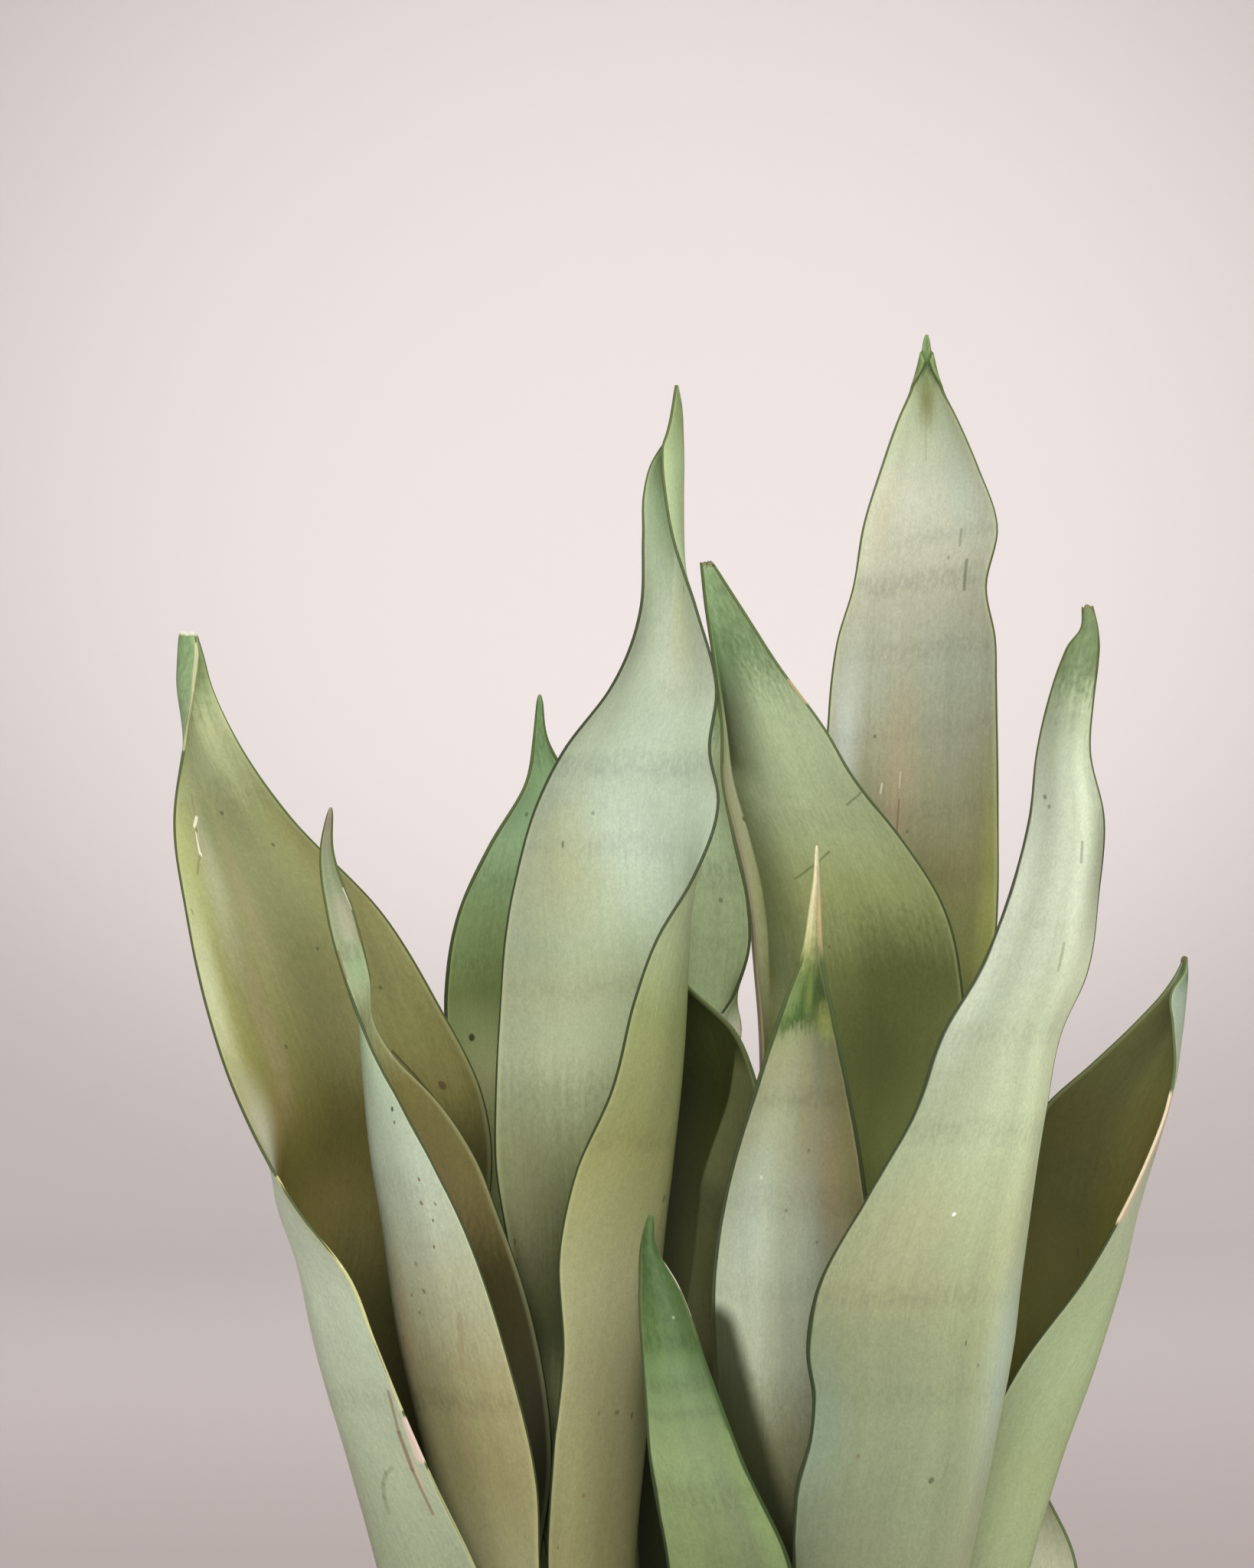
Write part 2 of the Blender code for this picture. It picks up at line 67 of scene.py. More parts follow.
# Each blade's stations: the height above the soil, then the left margin, the midline and the right
# margin there, as seen from the front, in millimetres
BLADES = {
    # The wide blade at the far left, a channel whose near margin sweeps across its own front
    "leaf_far_left": [
        (4, (-57, -26), (-67, -15), (-57, -1)),
        (70, (-66, -34), (-86, -17), (-70, 6)),
        (141, (-71, -39), (-102, -16), (-81, 15)),
        (174, (-86.5, -38), (-111.5, -10), (-82, 17)),
        (214, (-104, -33), (-122.5, 2), (-81, 20)),
        (233, (-112, -29), (-125.5, 6), (-76, 20)),
        (252, (-127.5, -24), (-127.5, 10), (-71, 20)),
        (285, (-146.5, -14), (-116, 14), (-73, 17)),
        (312, (-156.5, -8), (-124, 14), (-86, 12)),
        (342, (-163.5, -4), (-135, 11), (-104, 8)),
        (371, (-167, -2), (-149, 8), (-131.5, 5)),
        (395, (-163, -8), (-161, 2), (-148, 3)),
        (412, (-160, -8), (-165.3, -1), (-156, 4)),
        (420, (-159, -7), (-165.2, -1), (-158, 3)),
        (427, (-160.2, -4), (-164.8, -1), (-160, 2)),
    ],
    # The blade inside it, whose tip twists into a narrow spike
    "leaf_twisted_spike": [
        (4, (-33, -44), (-45, -33), (-37, -21)),
        (70, (-43, -44), (-61, -29), (-45, -14)),
        (141, (-54, -38), (-81, -17), (-55, -1)),
        (173, (-55.2, -38), (-88, -12), (-51.3, -1)),
        (212, (-64.8, -35), (-97, -6), (-56, 0)),
        (251, (-78.6, -31), (-102.5, -3), (-68.4, 1)),
        (266, (-86.2, -28), (-105, -3), (-74.5, 2)),
        (285, (-96.8, -22), (-107.2, -4), (-87.4, 3)),
        (298, (-104.5, -15), (-108.5, -5), (-100, 2)),
        (308, (-109.2, -9), (-109.3, -3), (-106, 2)),
        (321, (-114.6, -4), (-110.8, -1), (-106.9, 1)),
        (340, (-119.8, -3), (-115.5, 0), (-111.3, -1)),
        (362, (-122.1, -2), (-120.2, -1), (-118.4, -2)),
        (374, (-119.7, -2), (-119, -2), (-118.3, -2)),
    ],
    # The large blade in the middle, whose right side folds forward lower down
    "leaf_centre": [
        (4, (-27, 5), (-13, -8), (-25, -21)),
        (70, (-40, 7), (-20, -6), (-38, -22)),
        (141, (-53, 11), (-27, -3), (-52.5, -21)),
        (178, (-58, 12), (-24.5, 0), (-51, -21)),
        (210, (-61, 11), (-21, 2), (-48, -20)),
        (238, (-65, 10), (-19, 4), (-49.3, -19)),
        (264, (-69, 9), (-16.5, 6), (-43.8, -19)),
        (287, (-69, 8), (-15, 8), (-33.8, -20)),
        (317, (-67.3, 7), (-14, 10), (-26, -20)),
        (335, (-66, 5), (-15, 11), (-19, -19)),
        (352, (-63, 3), (-18, 12), (-8.5, -16)),
        (376, (-55.8, 0), (-24, 12), (-0.4, -11)),
        (391, (-48, -2), (-22, 11), (-2.8, -9)),
        (410, (-33.8, -3), (-16, 9), (-0.6, -7)),
        (434, (-24.6, -1), (-14, 9), (-6.8, -6)),
        (457, (-23.7, 0), (-12.3, 8), (-14.5, -5)),
        (470, (-23.6, 1.5), (-11.8, 7), (-16.8, -4)),
        (480, (-21, 3), (-11.4, 6), (-17.7, -3)),
        (484.5, (-18.3, 4), (-11.4, 6), (-17.5, -2)),
        (488.5, (-15.2, 5), (-11.6, 6), (-16.2, -1)),
        (497, (-12.9, 4.5), (-12.2, 5), (-14.4, 1)),
        (503.5, (-13.6, 3), (-13.2, 3.4), (-13.4, 2.4)),
    ],
    # The dark blade that shows at the left of the middle one
    "leaf_behind_centre": [
        (4, (-39, 17), (-32, 28), (-20, 23)),
        (70, (-47, 23), (-38, 33), (-25, 26)),
        (141, (-60, 28), (-44, 39), (-28, 31)),
        (210, (-73, 32), (-50, 43), (-32, 34)),
        (280, (-82, 29), (-57, 41), (-36, 36)),
        (317, (-85, 25), (-60, 38), (-36, 36)),
        (340, (-81, 25), (-58, 37), (-36, 35)),
        (362, (-71.3, 26), (-55, 36), (-38, 34)),
        (382, (-60, 28), (-53, 32), (-46, 30)),
        (395, (-57.7, 29), (-55.5, 30), (-53, 29)),
        (409, (-56.4, 30), (-55.6, 30), (-54.8, 30)),
    ],
    # The small cupped blade in the shade, between the middle one and the pale one
    "leaf_shaded": [
        (4, (-16, 8), (-5, 13), (3, 3)),
        (70, (-18, 12), (-5, 17), (5, 6)),
        (141, (-26.5, 16), (-4, 19), (9, 7)),
        (205, (-26, 17), (-6, 22), (11, 7)),
        (260, (-30, 18), (-7, 23), (12, 7)),
        (293, (-30, 18), (-9, 22), (10.3, 8)),
        (305, (-29, 18), (-12, 21), (5, 12)),
        (320, (-27, 17), (-18, 19), (-10.5, 15)),
        (336, (-22.2, 17), (-21.3, 17), (-20.4, 17)),
    ],
    # The pale blade that shows at the right of the middle one
    "leaf_pale_back": [
        (4, (-11, 28), (-1, 36), (10, 29)),
        (70, (-14, 29), (-2, 37), (10, 30)),
        (141, (-17, 30), (-3, 38), (10, 31)),
        (200, (-25, 29), (-6, 36), (8, 29)),
        (260, (-30, 29), (-8, 35), (6, 28)),
        (293, (-32, 29), (-1, 33), (2, 26)),
        (304, (-34, 29), (3.5, 31), (-2, 25)),
        (316, (-34, 29), (-2, 32), (4.6, 25)),
        (330, (-33, 29), (-6, 32), (9.7, 25)),
        (344, (-31, 28), (-8, 32), (9.4, 25)),
        (364, (-27, 27), (-8, 31), (5, 24)),
        (382, (-20, 26), (-7, 30), (1.3, 24)),
        (404, (-8, 25), (-3, 26), (0.5, 24)),
        (413, (-3.8, 25), (-3, 25), (-2.2, 25)),
    ],
    # The wide blade right of the middle, with its tip cut off blunt
    "leaf_cut_tip": [
        (4, (7, 11), (19, 20), (31, 8)),
        (70, (8, 15), (20, 28), (38, 9)),
        (141, (9, 20), (21, 34), (46, 11)),
        (210, (11, 25), (24, 40), (56, 12)),
        (280, (14, 30), (27, 44), (73, 13)),
        (318, (12.8, 32), (26, 46), (75.6, 16)),
        (346, (9.8, 32), (22, 46), (68.4, 18)),
        (364, (6, 32), (18, 44), (56.8, 20)),
        (383, (1.6, 32), (12.5, 42), (41.9, 21)),
        (399, (1.2, 31), (8.5, 39), (32.8, 22)),
        (419, (-1.2, 29), (4, 35), (18.4, 23)),
        (433, (-3.5, 27), (0.5, 31), (9.4, 24)),
        (450, (-5.6, 26), (-3.6, 27), (-1.6, 26)),
    ],
    # The tallest blade, flat to the front, with a waist below its broad head
    "leaf_tall": [
        (4, (26, 29), (39, 38), (49, 24)),
        (70, (27, 35), (41, 44), (53, 30)),
        (141, (30, 45), (46, 53), (60, 39)),
        (210, (33, 53), (52, 60), (70, 46)),
        (280, (31, 57), (55, 64), (81, 51)),
        (340, (29, 58), (58, 65), (88.9, 54)),
        (370, (32, 58), (60, 65), (89.3, 55)),
        (399, (35.2, 58), (62, 65), (89, 55)),
        (413, (36.2, 58), (63, 64.5), (88.8, 55)),
        (427, (38.2, 57), (64, 64), (88.4, 55)),
        (443, (42.9, 56), (65, 63), (85.6, 56)),
        (463, (46.4, 55), (67, 62), (89, 55)),
        (481, (52, 55), (67, 61), (83, 55)),
        (497, (57.6, 55), (66.7, 59), (76.2, 55)),
        (509, (62.7, 55), (66.5, 56), (70.2, 55)),
        (516, (64.6, 55), (66.5, 55.3), (68.3, 55)),
        (523.4, (65.6, 55), (66.5, 55), (67.4, 55)),
    ],
    # The blade with a pale dry spine at its tip, in front of the cut one
    "leaf_cream_spine": [
        (4, (-4, -30), (7, -21), (18, -27)),
        (70, (-1, -28), (14, -18), (31, -25)),
        (141, (1, -24), (21, -14), (42, -22)),
        (205, (-2.4, -23), (22, -12), (48, -22)),
        (229, (-2.8, -23), (22, -12), (47, -22)),
        (262, (2.1, -22), (22.5, -13), (43.5, -22)),
        (290, (10.4, -21), (24.5, -14), (38.6, -21)),
        (316, (19, -19), (26.3, -16), (33.5, -19)),
        (331, (24.6, -18), (27.8, -17), (31, -18)),
        (343, (26.6, -17.2), (28.4, -16.5), (30.4, -17.2)),
        (353, (28, -16.4), (29, -16.2), (30.1, -16.4)),
        (362.5, (28.5, -16), (29.1, -16), (29.7, -16)),
    ],
    # The short blade at the very front
    "leaf_front": [
        (4, (-4, -44), (8, -54), (20, -44)),
        (60, (-7, -48), (8, -58), (22, -51)),
        (115, (-13, -50), (5, -60), (23, -56)),
        (150, (-16.6, -50), (1.5, -58), (20.2, -56)),
        (180, (-21.8, -46), (-7.5, -52), (6.3, -49)),
        (206, (-23.6, -42), (-13.5, -47), (-4, -42)),
        (231, (-24.9, -38), (-18.4, -41), (-12.8, -37)),
        (244, (-24.1, -35), (-21.7, -37), (-20.2, -35)),
        (252, (-22, -34), (-21.3, -34.3), (-20.6, -34)),
    ],
    # The biggest blade, its rounded back to the front right
    "leaf_front_right": [
        (4, (22, -36), (38, -38), (45, -22)),
        (70, (20, -42), (46, -45), (58, -20)),
        (147, (20.8, -45), (58, -50), (75.5, -19)),
        (160, (21, -45.4), (60.7, -50.4), (78.1, -19)),
        (173, (21.9, -45.8), (63.2, -50.8), (80.8, -19)),
        (187, (25.9, -46), (65.7, -51), (83.8, -19)),
        (198, (26.7, -45.5), (67.2, -51), (86, -19)),
        (212, (24.9, -45), (69, -50.8), (88.2, -19)),
        (229, (27.5, -44), (71, -50), (90.2, -19)),
        (258, (43, -42), (78, -49), (94.2, -20)),
        (282, (56.6, -39), (84, -47), (98, -22)),
        (308, (66.4, -37), (89, -45), (102.8, -25)),
        (323, (75.8, -35), (94.5, -43), (109.6, -27)),
        (347, (85.8, -33), (101, -40), (113.4, -29)),
        (371, (92.2, -31), (104.2, -37), (115.2, -29)),
        (391, (94.5, -30), (103.4, -35), (111, -29)),
        (406, (97.9, -30), (105.5, -34), (111.8, -29.5)),
        (418, (101.9, -30), (108, -33), (113.1, -30)),
        (423, (104.2, -30), (109.2, -32.3), (113.4, -30)),
        (427, (107.5, -30), (110.4, -31.6), (113, -30)),
        (434.6, (108.3, -30), (109.9, -30.2), (111.6, -30)),
    ],
    # The blade at the far right, a channel that opens to the middle
    "leaf_far_right": [
        (4, (57, 9), (68, -4), (57, -17)),
        (70, (64, 14), (81, 0), (69, -12)),
        (141, (72, 16), (94, 4), (73, -8)),
        (173, (76, 18), (104, 7), (77, -8)),
        (204, (82, 20), (115, 10), (91, -8)),
        (231, (84, 21), (121.5, 12), (110.5, -10)),
        (252, (86, 21), (124, 13), (122.3, -12)),
        (267, (92, 20), (127, 13), (129.6, -11)),
        (283, (102, 17), (131, 12), (136, -8)),
        (294, (114, 14), (136, 10), (138.3, -6)),
        (307, (127.3, 10), (141, 7), (138, -4)),
        (318, (137, 7), (142.8, 4), (138.2, -1)),
        (323.5, (140.4, 5.6), (143, 4.4), (142.2, 2.4)),
        (327.5, (142, 4.7), (142.8, 4.2), (143, 3.3)),
    ],
    # The short blade that leans out behind it
    "leaf_short_back": [
        (4, (54, 36), (66, 31), (64, 19)),
        (70, (68, 36), (84, 34), (95, 20)),
        (115, (76, 31), (95, 33), (111, 20)),
        (142, (78, 28), (97, 31), (110, 21)),
        (160, (80, 27), (93, 29), (102, 22)),
        (186, (88.2, 25), (89, 25), (89.8, 25)),
    ],
}

# How far each blade's tip bends back, or to the front where negative, beyond its stations
BENDS = {
    "leaf_far_left": 8,
    "leaf_twisted_spike": -10,
    "leaf_centre": -6,
    "leaf_behind_centre": 18,
    "leaf_shaded": 0,
    "leaf_pale_back": 8,
    "leaf_cut_tip": 10,
    "leaf_tall": 25,
    "leaf_cream_spine": -10,
    "leaf_front": -14,
    "leaf_front_right": -18,
    "leaf_far_right": -8,
    "leaf_short_back": 14,
}

# A bent blade keeps the outline that its stations give from the front, seen from this far away, at
# this place across and this height above the soil
FRONT_AWAY = 1600
FRONT_X = -28.4
FRONT_HEIGHT = 381.1

# The dark line along the margins thins where a blade is narrower than this, at most to this share
NARROW = 9
THINNEST = 0.3

# How uneven a torn tip is, how far down, and how far apart its teeth are from one column to the next
TORN = 1.6
TORN_REACH = 4
TORN_STEP = 0.21

# How far below a pointed tip the blade starts to round off, and the share of its width left at the end
POINT_REACH = 3.5
POINT_WIDTH = 0.3

# Where a blade's margins close into a hood below its tip: the heights where they start to come
# together, where they meet and where they have parted again, and how far they come forward
HOODS = {"leaf_tall": (498, 514.8, 519, 3.0)}
HOOD_TURN = 0.95 * math.pi


def slopes(heights, values):
    """The slope of a smooth curve at each station: its two spans' mean, the shorter one weighing more."""
    spans = np.diff(heights)[:, None]
    rises = np.diff(values, axis=0) / spans
    inner = (rises[:-1] * spans[1:] + rises[1:] * spans[:-1]) / (spans[:-1] + spans[1:])
    return np.vstack([rises[:1], inner, rises[-1:]])


def at_heights(levels, values, heights):
    """A cubic through the stations on either side of each height."""
    tilts = slopes(levels, values)
    i = np.clip(np.searchsorted(levels, heights, side="right") - 1, 0, len(levels) - 2)
    span = (levels[i + 1] - levels[i])[:, None]
    t = (heights[:, None] - levels[i][:, None]) / span
    start = (1 + 2 * t) * (1 - t) ** 2 * values[i] + t * (1 - t) ** 2 * span * tilts[i]
    end = t * t * (3 - 2 * t) * values[i + 1] + t * t * (t - 1) * span * tilts[i + 1]
    return start + end


def row_heights(top):
    """Even rows from the buried foot to the tip, and closer ones where the tip rounds off."""
    low, middle, high = -ROOT_DEPTH / MM, top - TIP_REACH, top - MARGIN_COLUMNS[-1]
    even = np.linspace(low, middle, round((middle - low) / ROW_STEP))
    close = np.linspace(middle, high, round((high - middle) / TIP_ROW_STEP))[1:]
    ends = [top - step for step in reversed(MARGIN_COLUMNS[:-1])]
    return np.concatenate([even, close, ends])


def arcs(ends, s):
    """Points at the places s, from -1 to 1, on each row's arc through margin, midline and margin."""
    left, middle, right = s * (s - 1) / 2, 1 - s * s, s * (s + 1) / 2
    x = ends[:, 0:1] * left + ends[:, 2:3] * middle + ends[:, 4:5] * right
    y = ends[:, 1:2] * left + ends[:, 3:4] * middle + ends[:, 5:6] * right
    return np.stack([x, y], -1)


def hooded(flat, ends, s, heights, start, meet, part, forward):
    """Rolls the margins of the rows below the tip to the front until they meet."""
    rise = np.clip((heights - start) / (meet - start), 0, 1) ** 2
    fall = np.clip((part - heights) / (part - meet), 0, 1)
    share = np.minimum(rise, fall)[:, None]
    out = np.abs(s)
    reach = (1 - share) * out + share * np.sin(HOOD_TURN * out)
    reach /= reach.max(1, keepdims=True)
    middle = ends[:, 2:3]
    margin = np.where(s < 0, ends[:, 0:1], ends[:, 4:5])
    x = middle + (margin - middle) * reach
    y = flat[..., 1] - share * forward * (1 - np.cos(HOOD_TURN * out)) / 2
    rolled = np.stack([x, y], -1)
    return np.where((share > 0)[..., None], rolled, flat)


def places(width):
    """The places across one row: close together at the margins, which are rounded, and even between."""
    scale = min(1.0, width / NARROW_ROW)
    near = np.array(MARGIN_COLUMNS) * scale
    even = np.linspace(near[-1], width - near[-1], ACROSS + 1)
    out = np.concatenate([near[:-1], even, width - near[-2::-1]])
    return 2 * out / width - 1


class Blade:
    """One blade's fine surface: points, normals and where each point is on the blade."""

    def __init__(self, name, number):
        stations = BLADES[name]
        foot = [(height, *stations[0][1:]) for height in (-ROOT_DEPTH / MM, 0.0)]
        full = [*foot, *stations]
        levels = np.array([station[0] for station in full], float)
        values = np.array([[c for point in station[1:] for c in point] for station in full], float)
        self.name, self.number, self.top = name, number, levels[-1]
        heights = row_heights(self.top)
        ends = at_heights(levels, values, heights)
        rough = arcs(ends, np.linspace(-1, 1, WIDTH_POINTS)[None, :].repeat(len(heights), 0))
        widths = np.linalg.norm(np.diff(rough, axis=1), axis=2).sum(1)
        self.s = np.array([places(width) for width in widths])
        flat = arcs(ends, self.s)
        if "cut" not in LOOKS[name]:
            left = np.clip((self.top - heights) / POINT_REACH, 0, 1)
            slim = np.sqrt(1 - (1 - left) ** 2) * (1 - POINT_WIDTH) + POINT_WIDTH
            centre = flat[:, [flat.shape[1] // 2], :]
            flat = centre + (flat - centre) * slim[:, None, None]
        if name in HOODS:
            flat = hooded(flat, ends, self.s, heights, *HOODS[name])
        bend = (BENDS[name] * (np.maximum(heights, 0) / levels[-1]) ** 2)[:, None]
        grow = bend / (FRONT_AWAY + flat[..., 1])
        flat[..., 0] += (flat[..., 0] - FRONT_X) * grow
        flat[..., 1] += bend
        self.height = heights[:, None].repeat(self.s.shape[1], 1)
        level = self.height + (self.height - FRONT_HEIGHT) * grow
        if "cut" in LOOKS[name]:
            level += self.torn(level)
        self.points = np.dstack([flat * MM, SOIL_LEVEL + level * MM])
        steps = np.linalg.norm(np.diff(self.points, axis=1), axis=2)
        run = np.concatenate([np.zeros((len(heights), 1)), np.cumsum(steps, 1)], 1)
        self.width = run[:, -1:]
        self.edge = np.minimum(run, self.width - run)
        self.inner = self.edge / np.clip(self.width / (NARROW * MM), THINNEST, 1)
        self.run = run - self.width / 2
        self.normals = self.facing()
        self.ripple()

    def torn(self, level):
        """How far the torn end of a blade stands up or down from its even top."""
        near = np.clip(1 - (self.top - self.height) / TORN_REACH, 0, 1) ** 2
        seed = 3.1 * self.number
        rough = [noise.noise(Vector((k * TORN_STEP, seed, 2.7))) for k in range(level.shape[1])]
        return near * TORN * np.array(rough)[None, :]

    def run_at(self, s, height):
        """How far a place is from the middle of its row, along the row, in millimetres."""
        row = np.abs(self.height[:, 0] - height).argmin()
        return float(np.interp(s, self.s[row], self.run[row])) / MM

    def facing(self):
        """Unit normals of the front face."""
        along = np.gradient(self.points, axis=0)
        over = np.gradient(self.points, axis=1)
        found = np.cross(over, along)
        return found / np.maximum(np.linalg.norm(found, axis=2, keepdims=True), 1e-12)

    def ripple(self):
        """Gives the surface the shallow ribs and swells of a fleshy leaf, and its margins a slight wave."""
        seed = 17.3 * self.number
        lift = np.zeros(self.s.shape)
        for i, j in np.ndindex(lift.shape):
            u, v, s = self.run[i, j], self.height[i, j] * MM, self.s[i, j]
            rib = noise.noise(Vector((u * RIB_ACROSS, v * RIB_ALONG, seed)))
            swell = noise.noise(Vector((u * SWELL_ACROSS, v * SWELL_ALONG, seed + 5)))
            wave = noise.noise(Vector((s * WAVE_ACROSS, v * WAVE_ALONG, seed + 9)))
            lift[i, j] = RIB * rib + SWELL * swell + WAVE * wave * abs(s) ** 3
        fade = np.minimum(1.0, self.width / FULL_RELIEF_WIDTH)
        self.points += self.normals * (lift * fade)[..., None]
        self.normals = self.facing()

    def halves(self):
        """Half the thickness at each point, none at the margins and the tip, which are round."""
        share = np.maximum(0.0, self.height / self.top)
        middle = FOOT_THICKNESS + (TIP_THICKNESS - FOOT_THICKNESS) * share
        middle = np.minimum(middle, MARGIN_THICKNESS + TIP_THINNING * self.width)
        half = (MARGIN_THICKNESS + (middle - MARGIN_THICKNESS) * (1 - self.s**2)) / 2
        inside = np.minimum(self.edge / MM, self.top - self.height)
        inside = np.minimum(inside, self.height + ROOT_DEPTH / MM)
        inside = np.clip(inside / (MARGIN_ROUND * np.minimum(1, self.width / (NARROW_ROW * MM))), 0, 1)
        return half * np.sqrt(1 - (1 - inside) ** 2)

    def make(self, surface):
        """The blade as one closed mesh, whose two faces share the points along its rim."""
        rows, columns = self.s.shape
        offset = self.normals * self.halves()[..., None]
        rim = np.zeros((rows, columns), bool)
        rim[[0, -1], :] = True
        rim[:, [0, -1]] = True
        front = np.arange(rows * columns).reshape(rows, columns)
        back = front.copy()
        back[~rim] = rows * columns + np.arange((~rim).sum())
        points = np.vstack([(self.points + offset).reshape(-1, 3), (self.points - offset)[~rim]])
        faces = []
        for i in range(rows - 1):
            for j in range(columns - 1):
                faces.append([front[i, j], front[i, j + 1], front[i + 1, j + 1], front[i + 1, j]])
                faces.append([back[i, j], back[i + 1, j], back[i + 1, j + 1], back[i, j + 1]])
        mesh = bpy.data.meshes.new(self.name + "_skin")
        mesh.from_pydata(points.tolist(), [], [list(map(int, face)) for face in faces])
        face = np.where(rim, 0.5, 0.0)

        def both(values):
            return np.concatenate([values.reshape(-1), values[~rim]])

        sides = np.concatenate([face.reshape(-1), np.ones((~rim).sum())])
        store(mesh, "where", np.stack([both(self.s), both(self.height) * MM * WHERE_PER_METRE, sides], -1))
        store(mesh, "flow", np.stack([both(self.run), both(self.height) * MM, sides * FACE_GAP], -1))
        store(mesh, "edge", both(self.inner) / MM)
        store(mesh, "drop", both(self.top - self.height))
        mesh.materials.append(surface)
        mesh.shade_smooth()
        return link(mesh.name, mesh)


def store(mesh, name, values):
    """Keeps a number or a vector for each point of the mesh, for its material to read."""
    kind = "FLOAT_VECTOR" if values.ndim == 2 else "FLOAT"
    field = mesh.attributes.new(name, kind, "POINT")
    key = "vector" if values.ndim == 2 else "value"
    field.data.foreach_set(key, values.astype(np.float32).reshape(-1))


def link(name, data):
    made = bpy.data.objects.new(name, data)
    bpy.context.scene.collection.objects.link(made)
    return made


def tone(red, green, blue):
    """A colour given in the 0 to 255 of a screen, as the linear numbers that a shader takes."""
    parts = [value / 255 for value in (red, green, blue)]
    return [p / 12.92 if p <= 0.04045 else ((p + 0.055) / 1.055) ** 2.4 for p in parts] + [1.0]


